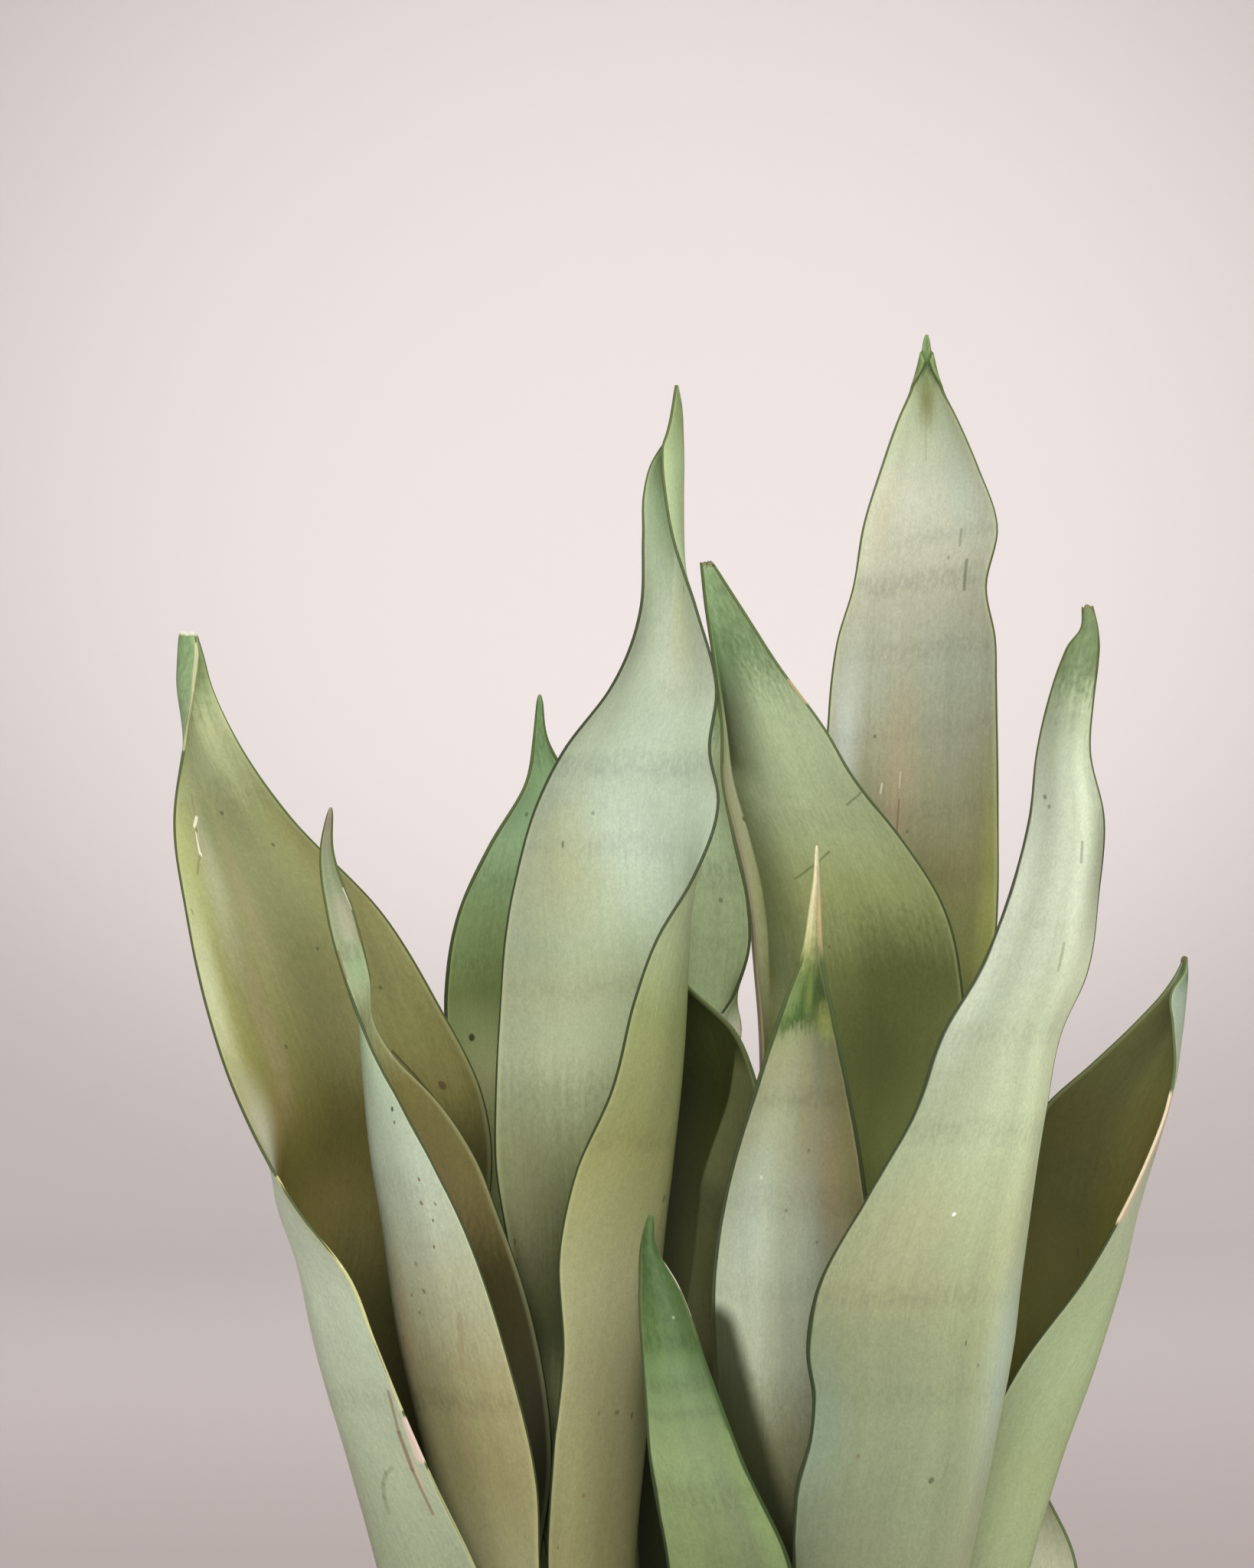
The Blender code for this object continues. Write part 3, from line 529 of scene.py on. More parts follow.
class Paint:
    """A material under construction. Most methods add a node and return what comes out of it."""

    def __init__(self, name, **constants):
        self.material = bpy.data.materials.new(name)
        self.material.use_nodes = True
        self.tree = self.material.node_tree
        self.surface = self.tree.nodes["Principled BSDF"]
        for socket, value in constants.items():
            self.surface.inputs[socket.replace("_", " ")].default_value = value

    def node(self, kind, inputs, output=0, **settings):
        made = self.tree.nodes.new("ShaderNode" + kind)
        for key, value in settings.items():
            setattr(made, key, value)
        for key, value in inputs.items():
            if isinstance(value, bpy.types.NodeSocket):
                self.tree.links.new(value, made.inputs[key])
            else:
                made.inputs[key].default_value = value
        return made.outputs[output]

    def field(self, name):
        """What the mesh holds under this name for each point."""
        output = "Vector" if name in ("where", "flow") else "Fac"
        return self.node("Attribute", {}, output, attribute_name=name)

    def stretch(self, vector, scale, shift=(0, 0, 0)):
        return self.node("VectorMath", {0: vector, 1: scale, 2: shift}, operation="MULTIPLY_ADD")

    def noise(self, vector, detail=2.0, roughness=0.55):
        inputs = {"Vector": vector, "Scale": 1.0, "Detail": detail, "Roughness": roughness}
        return self.node("TexNoise", inputs, "Fac")

    def math(self, operation, a, b=0.0):
        return self.node("Math", {0: a, 1: b}, operation=operation)

    def sum(self, a, b):
        return self.math("ADD", a, b)

    def times(self, a, b):
        return self.math("MULTIPLY", a, b)

    def move(self, vector, way):
        return self.node("VectorMath", {0: vector, 1: way}, operation="ADD")

    def part(self, vector, axis):
        """One of a vector's three numbers, by the name of its axis."""
        return self.node("SeparateXYZ", {0: vector}, axis)

    def give(self, socket, value):
        """Gives the finished surface what it takes at one socket."""
        self.tree.links.new(value, self.surface.inputs[socket])

    def emboss(self, height, strength, distance):
        bump = self.node("Bump", {"Strength": strength, "Distance": distance, "Height": height})
        self.give("Normal", bump)

    def ease(self, value, start, stop, low=0.0, high=1.0):
        """Goes smoothly from low at start to high at stop."""
        inputs = {"Value": value, "From Min": start, "From Max": stop, "To Min": low, "To Max": high}
        return self.node("MapRange", inputs, interpolation_type="SMOOTHSTEP")

    def mix(self, share, a, b, blend="MIX"):
        return self.node("Mix", {0: share, 6: a, 7: b}, 2, data_type="RGBA", blend_type=blend)

    def ramp(self, value, stops, kind="LINEAR"):
        """A colour ramp through (place, colour) stops."""
        made = self.tree.nodes.new("ShaderNodeValToRGB")
        made.color_ramp.interpolation = kind
        self.tree.links.new(value, made.inputs[0])
        points = made.color_ramp.elements
        while len(points) < len(stops):
            points.new(0.5)
        for point, (place, _) in zip(points, stops):
            point.position = place
        for point, (_, colour) in zip(points, stops):
            point.color = colour
        return made.outputs[0]

    def near(self, vector, centre, reach, sharp):
        """1 around a place, up to the share sharp of its reach along each axis, and 0 from its reach on."""
        scale = tuple(1 / r for r in reach)
        shift = tuple(-c / r for c, r in zip(centre, reach))
        off = self.stretch(vector, scale, shift)
        length = self.node("VectorMath", {0: off}, "Value", operation="LENGTH")
        return self.ease(length, 1.0, sharp)

    def along(self, vector, start, stop, width):
        """1 along the straight line between two places, fading out at its sides."""
        way = Vector(stop) - Vector(start)
        off = self.node("VectorMath", {0: vector, 1: start}, operation="SUBTRACT")
        way_share = tuple(way / way.length_squared)
        share = self.node("VectorMath", {0: off, 1: way_share}, "Value", operation="DOT_PRODUCT")
        share = self.node("Clamp", {"Value": share})
        nearest = self.node("VectorMath", {0: tuple(way), "Scale": share}, operation="SCALE")
        gap = self.node("VectorMath", {0: off, 1: nearest}, operation="SUBTRACT")
        length = self.node("VectorMath", {0: gap}, "Value", operation="LENGTH")
        return self.ease(length, width * STROKE_END, width * STROKE_CORE)

    def beside(self, vector, start, stop, width):
        """1 just right of the line down from one place to another, fading over the width, 0 left of it."""
        way = Vector(stop) - Vector(start)
        off = self.node("VectorMath", {0: vector, 1: start}, operation="SUBTRACT")
        over = tuple(Vector((-way.y, way.x, 0)).normalized())
        way_share = tuple(way / way.length_squared)
        share = self.node("VectorMath", {0: off, 1: way_share}, "Value", operation="DOT_PRODUCT")
        gap = self.node("VectorMath", {0: off, 1: over}, "Value", operation="DOT_PRODUCT")
        depth = self.math("ABSOLUTE", self.part(off, "Z"))
        mask = self.times(self.ease(share, -0.15, 0.1), self.ease(share, 1.15, 0.9))
        mask = self.times(mask, self.ease(depth, 15.0, 5.0))
        mask = self.times(mask, self.ease(gap, -0.3, 0.7))
        return self.times(mask, self.ease(gap, width, 0.0))


# How much the ribs, the swells and the wave of the margins lift a blade's surface
RIB = 0.12 * MM
SWELL = 0.45 * MM
WAVE = 0.5 * MM

# How closely they follow each other across and along a blade, per metre, but the wave's across goes by
# the blade's own width, and how wide a blade has to be for the full relief
RIB_ACROSS, RIB_ALONG = 110, 5
SWELL_ACROSS, SWELL_ALONG = 16, 22
WAVE_ACROSS, WAVE_ALONG = 1.5, 30
FULL_RELIEF_WIDTH = 0.02

# A blade's mesh keeps two places for each point: "where" is s, the height in tenths of a metre and the
# face, from 0 to 1. "flow" is the way across the row and the height, in metres, and the face, with the
# back this many metres from the front.
WHERE_PER_METRE = 10
FACE_GAP = 3

# The heights of soft patches and bands are given to the material in this many millimetres, and the
# colour ramps go up to RAMP_TOP. A patch on one face ends at this depth on the way to the other one.
PATCH_UNIT = 100
RAMP_TOP = 600
PATCH_DEPTH = 0.9

# Marks are placed in millimetres, with this many of them for each metre between the two faces
MARK_DEPTH = 10

# The shares of a stroke's width at which it has faded out and at which it is full
STROKE_END = 0.65
STROKE_CORE = 0.3

# The noises in a blade's material: how closely each is packed across it, along it and from face to
# face, per metre, and how much detail it has. In turn: fibre, strand, mottle, dashes and grain
LEAF_NOISES = (
    ((900, 14, 1), 3),
    ((150, 5, 1), 2),
    ((70, 22, 1), 3),
    ((700, 300, 1), 2),
    ((1500, 900, 1), 1),
)
WANDER = (60, 18, 1)
SPECKS = (170, 60, 1)

# The most that the edge of a green tip frays, in millimetres
FRAY = 5

# The width of the dark line along the margins where a blade's looks name none, in millimetres
MARGIN_LINE = 0.78

# How much a full band darkens the leaf, and how far apart the blades are in the noises, in metres
BAND_SHADE = 0.3
BLADE_SHIFT = 1.7

# Colours of the plant
MARGIN_GREEN = tone(38, 50, 22)
MARGIN_PALE = tone(86, 102, 58)
FOOT_GREEN = tone(128, 138, 96)
FOOT_PALE = tone(176, 178, 140)
MARGIN_HALO = tone(202, 206, 152)
DRY = (228, 212, 180)
BROWN = (128, 96, 66)
INK = (64, 60, 36)


def wash(s, height, wide, tall, colour, share, face=0):
    """A soft patch of colour, used both for the leaf's own tints and for painted shade and painted light: its
    place and reach on the blade, in s and in millimetres, and its face.
    """
    return (s, height / PATCH_UNIT, face), (wide, tall / PATCH_UNIT, PATCH_DEPTH), tone(*colour), share


def band(height, tall, share, s=0.0, wide=3.0, face=0):
    """A darker cross band, drawn as a row of short dashes along the fibres."""
    return (s, height / PATCH_UNIT, face), (wide, tall / PATCH_UNIT, PATCH_DEPTH), share


def stroke(s, height, end_s, end_height, width, colour, share, face=0):
    """A line from place to place, so many millimetres wide, for a mark, and also for the painted shadow edges
    and a few painted shadows and highlights. On a margin it has no face and shows on both.
    """
    return (s, height), (end_s, end_height), width, tone(*colour), share, face


def dot(s, height, width, colour, share, face=0):
    return stroke(s, height, s, height + 0.3, width, colour, share, face)


# For each blade: the colours up its front and back face, by height, which hold the leaf's own tones
# together with painted shade and painted light: darker low in the crown, inside the channels and where
# other blades shade it, paler where the light falls. Then the painted light and shade across each face
# from the left margin to the right one, where it is not even. Then the soft patches, some of them the
# leaf's own tints and many of them painted shade, painted shadows and painted light, the cross bands, the
# fine marks, and the painted shadow edges: painted shade, and on one blade painted light, on the right of
# a crisp line. Then how far its darker green tip reaches down, its colour and strength. Blades with a torn
# tip have "cut", how brown its end is. Some have "margin", the colour of the margins' dark line, "line",
# its width, "bare", how far down from the tip there is none, and "tilt", how much the bands lean, in percent.
LOOKS = {}
LOOKS["leaf_far_left"] = dict(
    # The front is the inside of the channel: its dark olive low down is partly the leaf's own and partly
    # painted shade, and its brightness across it, palest at the left margin, is painted light and shade.
    front=[
        (150, (60, 57, 29)), (200, (67, 63, 32)), (224, (78, 74, 36)), (254, (102, 95, 49)),
        (283, (105, 100, 52)), (312, (124, 124, 76)), (342, (136, 140, 92)), (371, (134, 140, 94)),
        (388, (152, 160, 118)), (405, (166, 172, 126)), (420, (110, 130, 74)),
    ],
    front_painted_shade=(1.75, 1.04, 0.92, 1.22, 1.08),
    back=[
        (148, (168, 180, 146)), (187, (194, 208, 174)), (213, (210, 226, 195)), (240, (224, 240, 210)),
        (265, (232, 250, 220)), (300, (190, 206, 166)), (380, (176, 202, 158)), (412, (158, 186, 144)),
        (427, (138, 170, 122)),
    ],
    back_painted_shade=(0.85, 0.95, 1.05, 1.05, 1.0),
    # The dark patch at the right low down is painted shade inside the channel, and the pale patches along the
    # left margin are painted light on it.
    tints_and_painted_light=[
        wash(-0.95, 318, 0.2, 44, (202, 206, 168), 0.8), wash(-0.62, 352, 0.2, 46, (180, 180, 150), 0.5),
        wash(-0.35, 345, 0.16, 40, (164, 148, 112), 0.35),
        wash(-0.52, 308, 0.16, 44, (152, 136, 102), 0.45), wash(-0.62, 270, 0.14, 36, (150, 128, 90), 0.4),
        wash(0.85, 352, 0.5, 42, (168, 164, 108), 0.55), wash(0.9, 264, 0.42, 32, (66, 66, 24), 0.8),
        wash(0.05, 235, 0.35, 30, (120, 110, 58), 0.5), wash(-0.86, 265, 0.28, 36, (208, 209, 186), 0.85),
        wash(-0.9, 386, 0.3, 20, (176, 182, 134), 0.6),
    ],
    bands=[band(378, 8, 0.25, 0.4, 1.0), band(196, 6, 0.4, -0.5, 1.2, 1)],
    marks=[
        stroke(-0.67, 378, -0.67, 371, 0.7, (140, 138, 92), 0.6),
        stroke(-0.65, 371, -0.69, 368, 1.0, (240, 236, 210), 0.9),
        stroke(-0.7, 366, -0.71, 359, 0.9, (240, 236, 210), 0.9),
        stroke(-0.67, 368, -0.68, 360, 0.6, (120, 112, 66), 0.6),
        stroke(-0.72, 359, -0.79, 353, 0.7, (140, 132, 82), 0.7),
        stroke(0.47, 298, 0.72, 281, 0.9, (64, 58, 28), 0.75),
        stroke(0.72, 281, 0.92, 261, 0.8, (64, 58, 28), 0.6), dot(0.75, 288, 2.6, (72, 56, 28), 0.75),
        dot(-0.2, 372, 1.0, INK, 0.7), dot(0.35, 362, 1.0, INK, 0.6), dot(-0.05, 402, 1.1, INK, 0.8),
        dot(0.2, 330, 1.0, INK, 0.6), dot(0.6, 318, 1.1, INK, 0.5), dot(-0.4, 300, 1.2, INK, 0.5),
        stroke(-1.0, 190, -0.985, 180, 3.6, (226, 204, 188), 0.9, None),
        stroke(-0.96, 199, -0.92, 187, 1.1, (146, 118, 92), 0.7, 1),
        stroke(-0.92, 187, -0.9, 176, 1.5, (132, 104, 80), 0.75, 1),
        stroke(-0.935, 181, -0.915, 170, 0.8, (206, 184, 160), 0.7, 1),
        stroke(-0.9, 176, -0.9, 163, 1.2, (140, 112, 86), 0.7, 1),
        stroke(-0.765, 176, -0.69, 174, 1.2, (122, 142, 100), 0.4, 1),
        stroke(-0.69, 174, -0.62, 170.5, 1.5, (118, 138, 96), 0.4, 1),
        stroke(-0.62, 170.5, -0.575, 166.5, 1.7, (116, 136, 94), 0.4, 1),
        stroke(-0.575, 166.5, -0.56, 162, 1.6, (116, 136, 94), 0.4, 1),
        # The pale strokes down the left margin, this one and the five after it, are a painted highlight along
        # the lit margin.
        stroke(-1.0, 262, -1.0, 236, 1.1, (212, 212, 150), 0.85, None),
        stroke(-1.0, 236, -1.0, 214, 1.1, (212, 212, 150), 0.85, None),
        stroke(-1.0, 214, -1.0, 194, 1.0, (206, 206, 150), 0.8, None),
        stroke(-1.0, 176, -1.0, 145, 0.9, (196, 196, 140), 0.6, None),
        stroke(-1.0, 424, -1.0, 410, 1.3, (204, 206, 160), 0.8, None),
        stroke(-1.0, 410, -1.0, 392, 1.3, (204, 204, 156), 0.75, None),
        stroke(-0.9, 427, 0.9, 427, 1.5, (226, 222, 200), 0.85, None),
    ],
    tip=(30, (132, 156, 104), 0.5), cut=0.5, margin=(64, 74, 36), line=0.7,
)
LOOKS["leaf_twisted_spike"] = dict(
    front=[
        (172, (50, 50, 18)), (202, (61, 57, 16)), (231, (67, 62, 20)), (261, (110, 102, 52)),
        (291, (122, 116, 62)), (321, (156, 168, 130)), (351, (142, 154, 118)), (374, (138, 134, 114)),
    ],
    front_painted_shade=(0.9, 0.97, 1.04, 1.0, 0.85),
    back=[
        (148, (132, 130, 94)), (177, (138, 134, 92)), (205, (150, 147, 108)), (234, (174, 180, 148)),
        (263, (186, 200, 176)), (292, (174, 193, 165)), (320, (150, 170, 130)), (345, (154, 160, 126)),
        (374, (128, 128, 104)),
    ],
    back_painted_shade=(1.28, 0.96, 0.5, 0.52, 0.7),
    tints_and_painted_light=[
        wash(0.2, 341, 1.6, 13, (174, 172, 146), 0.7, 1), wash(0.2, 341, 1.6, 13, (174, 172, 146), 0.7),
        wash(0.2, 326, 1.6, 9, (136, 164, 118), 0.6), wash(0.2, 354, 1.6, 8, (132, 150, 112), 0.6),
        wash(-0.34, 218, 0.16, 30, (166, 144, 110), 0.5, 1), wash(0.6, 255, 0.5, 30, (150, 136, 92), 0.5),
    ],
    bands=[band(195, 6, 0.6, -0.6, 1.2, 1), band(262, 8, 0.3, -0.7, 1.2, 1), band(330, 5, 0.6, 0, 3, 0)],
    marks=[
        dot(-0.86, 283, 1.3, INK, 0.8, 1), dot(-0.84, 279, 0.9, INK, 0.7, 1),
        dot(-0.86, 262, 1.0, BROWN, 0.8, 1), dot(-0.8, 255, 1.1, BROWN, 0.8, 1),
        dot(-0.84, 250, 0.8, INK, 0.7, 1), dot(-0.78, 242, 0.9, BROWN, 0.8, 1),
        dot(-0.62, 228, 1.2, BROWN, 0.7, 1), dot(-0.5, 226, 0.9, BROWN, 0.7, 1),
        dot(-0.55, 221, 0.8, BROWN, 0.7, 1), dot(-0.28, 213, 0.9, BROWN, 0.7, 1),
        dot(-0.2, 206, 1.0, BROWN, 0.7, 1), dot(-0.16, 198, 0.8, BROWN, 0.6, 1),
        stroke(-0.82, 222, -0.76, 205, 1.8, (158, 130, 96), 0.35, 1),
        stroke(-0.7, 196, -0.66, 178, 1.6, (160, 134, 100), 0.25, 1), dot(0.6, 228, 1.1, (60, 44, 24), 0.7),
        dot(0.75, 216, 1.3, (60, 44, 24), 0.7), dot(0.5, 246, 1.0, (70, 52, 28), 0.6),
        dot(-0.6, 236, 1.2, BROWN, 0.5, 1), dot(-0.9, 255, 1.0, INK, 0.5, 1),
        stroke(0.9, 349, 0.95, 343, 1.0, (232, 226, 214), 0.8),
        stroke(0.95, 340, 0.95, 333, 1.0, BROWN, 0.6), stroke(-0.9, 330, -0.92, 322, 0.9, BROWN, 0.6),
    ],
    tip=(8, (142, 124, 114), 0.6), line=0.6,
)
LOOKS["leaf_centre"] = dict(
    # The dark colours low on the front are painted shade under the blades in front of it.
    front=[
        (141, (104, 110, 70)), (203, (84, 90, 48)), (234, (80, 85, 38)), (266, (138, 145, 98)),
        (298, (180, 189, 150)), (329, (172, 186, 152)), (361, (184, 198, 176)), (392, (186, 201, 177)),
        (424, (180, 191, 168)), (450, (196, 210, 182)), (470, (184, 206, 164)), (484, (120, 146, 96)),
        (503, (110, 138, 84)),
    ],
    front_painted_shade=(0.74, 1.0, 1.0, 1.16, 1.4),
    back=[
        (145, (142, 139, 94)), (187, (150, 149, 107)), (228, (151, 152, 112)), (270, (147, 149, 97)),
        (311, (148, 158, 106)), (345, (188, 204, 160)), (394, (168, 182, 136)), (450, (176, 197, 152)),
        (477, (174, 194, 146)), (503, (142, 162, 108)),
    ],
    back_painted_shade=(0.7, 0.65, 0.66, 0.88, 1.18),
    # The dark patch on the back low down is painted shade on the folded flap, and the pale patches at the
    # left margin are painted light.
    tints_and_painted_light=[
        wash(-0.85, 190, 0.5, 24, (150, 156, 108), 0.7), wash(-0.75, 356, 0.45, 36, (174, 176, 128), 0.6),
        wash(0.15, 340, 0.6, 34, (198, 212, 190), 0.5), wash(-0.72, 318, 0.8, 16, (166, 168, 128), 0.4),
        wash(-0.92, 250, 0.25, 40, (140, 142, 104), 0.4), wash(0.25, 432, 0.5, 34, (208, 204, 160), 0.4),
        wash(-0.85, 398, 0.35, 30, (206, 218, 190), 0.6), wash(0.3, 205, 0.32, 56, (80, 80, 48), 0.8, 1),
    ],
    bands=[
        band(387, 7, 0.55), band(362, 6, 0.3, -0.3, 1.2), band(318, 6, 0.35, -0.4, 1.4), band(286, 8, 0.3),
        band(273, 6, 0.35, 0.9, 1.2, 1), band(410, 5, 0.25, 0.3, 1.2),
    ],
    marks=[
        dot(-0.15, 331, 1.2, (238, 240, 228), 0.8), dot(0.1, 312, 1.3, INK, 0.6),
        dot(-0.4, 300, 1.0, INK, 0.4), dot(-0.5, 372, 1.1, INK, 0.4), dot(0.8, 165, 1.3, BROWN, 0.5, 1),
        dot(0.62, 190, 1.2, INK, 0.5, 1),
    ],
    tip=(12, (140, 160, 106), 0.5),
)
LOOKS["leaf_behind_centre"] = dict(
    front=[
        (200, (136, 142, 98)), (290, (182, 188, 136)), (317, (118, 132, 80)), (342, (142, 164, 112)),
        (365, (176, 206, 161)), (392, (132, 164, 116)), (409, (112, 142, 92)),
    ],
    front_painted_shade=(0.95, 1.03, 1.0, 1.0, 1.0),
    back=[(200, (110, 116, 80)), (409, (104, 130, 84))],
    tints_and_painted_light=[wash(-0.8, 286, 0.5, 18, (196, 190, 146), 0.5)],
    bands=[band(350, 8, 0.5), band(325, 6, 0.3)],
    marks=[
        dot(-0.72, 302, 2.2, (56, 46, 26), 0.85),
        stroke(-1.0, 306, -1.0, 292, 3.0, (166, 142, 118), 0.85, None), dot(-0.6, 372, 1.2, INK, 0.5),
    ],
    tip=(24, (98, 128, 80), 0.7), line=1.5,
)
LOOKS["leaf_shaded"] = dict(
    # Its dark front is mostly painted shade, over a darker green of its own, as it lies in the shade of the
    # blades in front.
    front=[
        (120, (54, 60, 28)), (203, (62, 67, 26)), (230, (72, 77, 30)), (258, (59, 62, 22)),
        (285, (47, 52, 19)), (336, (58, 64, 30)),
    ],
    front_painted_shade=(0.5, 0.66, 0.95, 1.1, 1.1),
    # Painted light, on the right of the crisp edge of the shadow across it.
    folds=[
        stroke(0.75, 296, 0.1, 258, 40, (112, 118, 76), 0.85),
        stroke(0.1, 258, -0.3, 205, 40, (98, 102, 64), 0.7),
    ],
    back=[(120, (96, 102, 66)), (336, (112, 124, 82))],
    bands=[band(250, 10, 0.3)],
    tip=(10, (70, 84, 46), 0.6),
)
LOOKS["leaf_pale_back"] = dict(
    front=[
        (150, (140, 150, 106)), (312, (145, 159, 115)), (339, (166, 182, 138)), (366, (208, 227, 184)),
        (393, (202, 219, 178)), (413, (160, 184, 134)),
    ],
    front_painted_shade=(1.1, 1.08, 1.02, 0.92, 0.86),
    back=[(150, (136, 140, 104)), (413, (130, 150, 106))],
    tints_and_painted_light=[
        wash(0.5, 298, 1.5, 18, (206, 198, 180), 1.0), wash(0.5, 300, 1.2, 15, (206, 198, 180), 1.0, 1),
    ],
    bands=[band(353, 8, 0.55), band(332, 5, 0.3)],
    marks=[dot(0.5, 345, 1.3, INK, 0.5), stroke(1.0, 308, 1.0, 280, 4.5, (206, 198, 180), 0.95, None)],
    tip=(20, (120, 150, 98), 0.7),
)
LOOKS["leaf_cut_tip"] = dict(
    front=[
        (200, (98, 104, 58)), (265, (113, 121, 70)), (293, (104, 111, 63)), (322, (112, 119, 71)),
        (350, (146, 154, 103)), (379, (174, 186, 148)), (407, (188, 204, 165)), (430, (206, 224, 182)),
        (450, (202, 224, 176)),
    ],
    front_painted_shade=(0.85, 0.86, 0.98, 1.26, 1.24),
    back=[(150, (112, 118, 80)), (300, (134, 144, 104)), (450, (132, 152, 106))],
    # The dark patches low at the right and high at the left are painted shade.
    tints_and_painted_light=[
        wash(-0.75, 345, 0.5, 60, (200, 196, 160), 0.85), wash(-0.8, 388, 0.5, 26, (190, 186, 154), 0.8),
        wash(-0.7, 414, 0.4, 16, (76, 96, 52), 0.8), wash(0.6, 302, 0.6, 36, (76, 80, 40), 0.6),
        wash(0.8, 324, 0.6, 24, (76, 80, 40), 0.55),
    ],
    bands=[band(340, 8, 0.25), band(370, 5, 0.2, 0.4, 1.0)],
    marks=[
        stroke(0.12, 352, 0.5, 360, 0.7, (78, 92, 48), 0.5),
        stroke(0.82, 375, 0.99, 379, 0.7, (78, 92, 48), 0.45), dot(-0.48, 370, 1.3, INK, 0.7),
        dot(0.3, 330, 1.0, INK, 0.4), stroke(1.0, 413, 1.0, 407, 1.6, (196, 176, 134), 0.7, None),
        stroke(-1.0, 386, -1.0, 364, 4.0, (164, 156, 124), 0.8, None),
        stroke(-1.0, 364, -1.0, 340, 4.0, (156, 148, 116), 0.9, None),
        stroke(-1.0, 340, -1.0, 280, 4.0, (140, 130, 100), 0.9, None),
    ],
    # Painted shade in the crease along the left side, crisp at its left edge and fading to the right.
    folds=[
        stroke(-1.0, 430, -0.58, 385, 16, (50, 58, 20), 0.95),
        stroke(-0.58, 385, -0.44, 318, 15, (70, 78, 32), 0.8),
    ],
    tip=(44, (134, 164, 114), 0.8), cut=0.6, margin=(46, 62, 28), line=1.0,
)
LOOKS["leaf_tall"] = dict(
    front=[
        (180, (104, 106, 62)), (300, (120, 122, 70)), (325, (138, 142, 84)), (354, (128, 126, 84)),
        (384, (142, 142, 110)), (414, (155, 160, 137)), (443, (172, 175, 151)), (473, (192, 197, 174)),
        (502, (168, 179, 144)), (512, (140, 152, 108)), (524, (112, 130, 86)),
    ],
    front_painted_shade=(1.32, 1.06, 0.97, 0.96, 0.88),
    back=[
        (180, (110, 112, 76)), (362, (140, 142, 108)), (490, (168, 178, 138)), (504, (116, 134, 84)),
        (524, (104, 126, 78)),
    ],
    tints_and_painted_light=[
        wash(-0.12, 388, 0.33, 60, (164, 146, 116), 0.5), wash(0.95, 346, 0.22, 60, (156, 160, 88), 0.6),
        wash(0.5, 405, 0.35, 50, (144, 150, 128), 0.5), wash(-0.72, 466, 0.35, 20, (198, 188, 158), 0.45),
        wash(0.55, 478, 0.4, 26, (176, 190, 172), 0.5), wash(0.0, 503, 0.6, 14, (116, 122, 66), 0.8),
        wash(-0.8, 392, 0.32, 50, (200, 207, 196), 0.75),
    ],
    bands=[
        band(460, 4, 0.45, 0.2, 1.5), band(446, 6, 0.6), band(424, 6, 0.4, 0.2, 1.6), band(398, 5, 0.25),
        band(372, 6, 0.3), band(350, 6, 0.3),
    ],
    marks=[
        stroke(0.65, 452, 0.67, 443, 1.2, (108, 116, 88), 0.7),
        stroke(0.5, 462, 0.5, 457, 1.0, (110, 120, 90), 0.5),
        stroke(-0.08, 376, -0.07, 364, 0.6, (126, 84, 58), 0.7),
        stroke(-0.09, 385, -0.09, 380, 0.4, (214, 198, 174), 0.5),
        stroke(-0.3, 381, -0.305, 378, 0.6, (226, 218, 196), 0.6), dot(-0.42, 396, 1.0, INK, 0.6),
        stroke(-0.04, 500, -0.03, 484, 0.5, (140, 144, 104), 0.4), dot(0.35, 453, 1.1, INK, 0.4),
        dot(0.05, 366, 1.0, INK, 0.5),
    ],
    tip=(17, (100, 130, 72), 0.8), margin=(72, 84, 44), line=0.62, tilt=2.5,
)
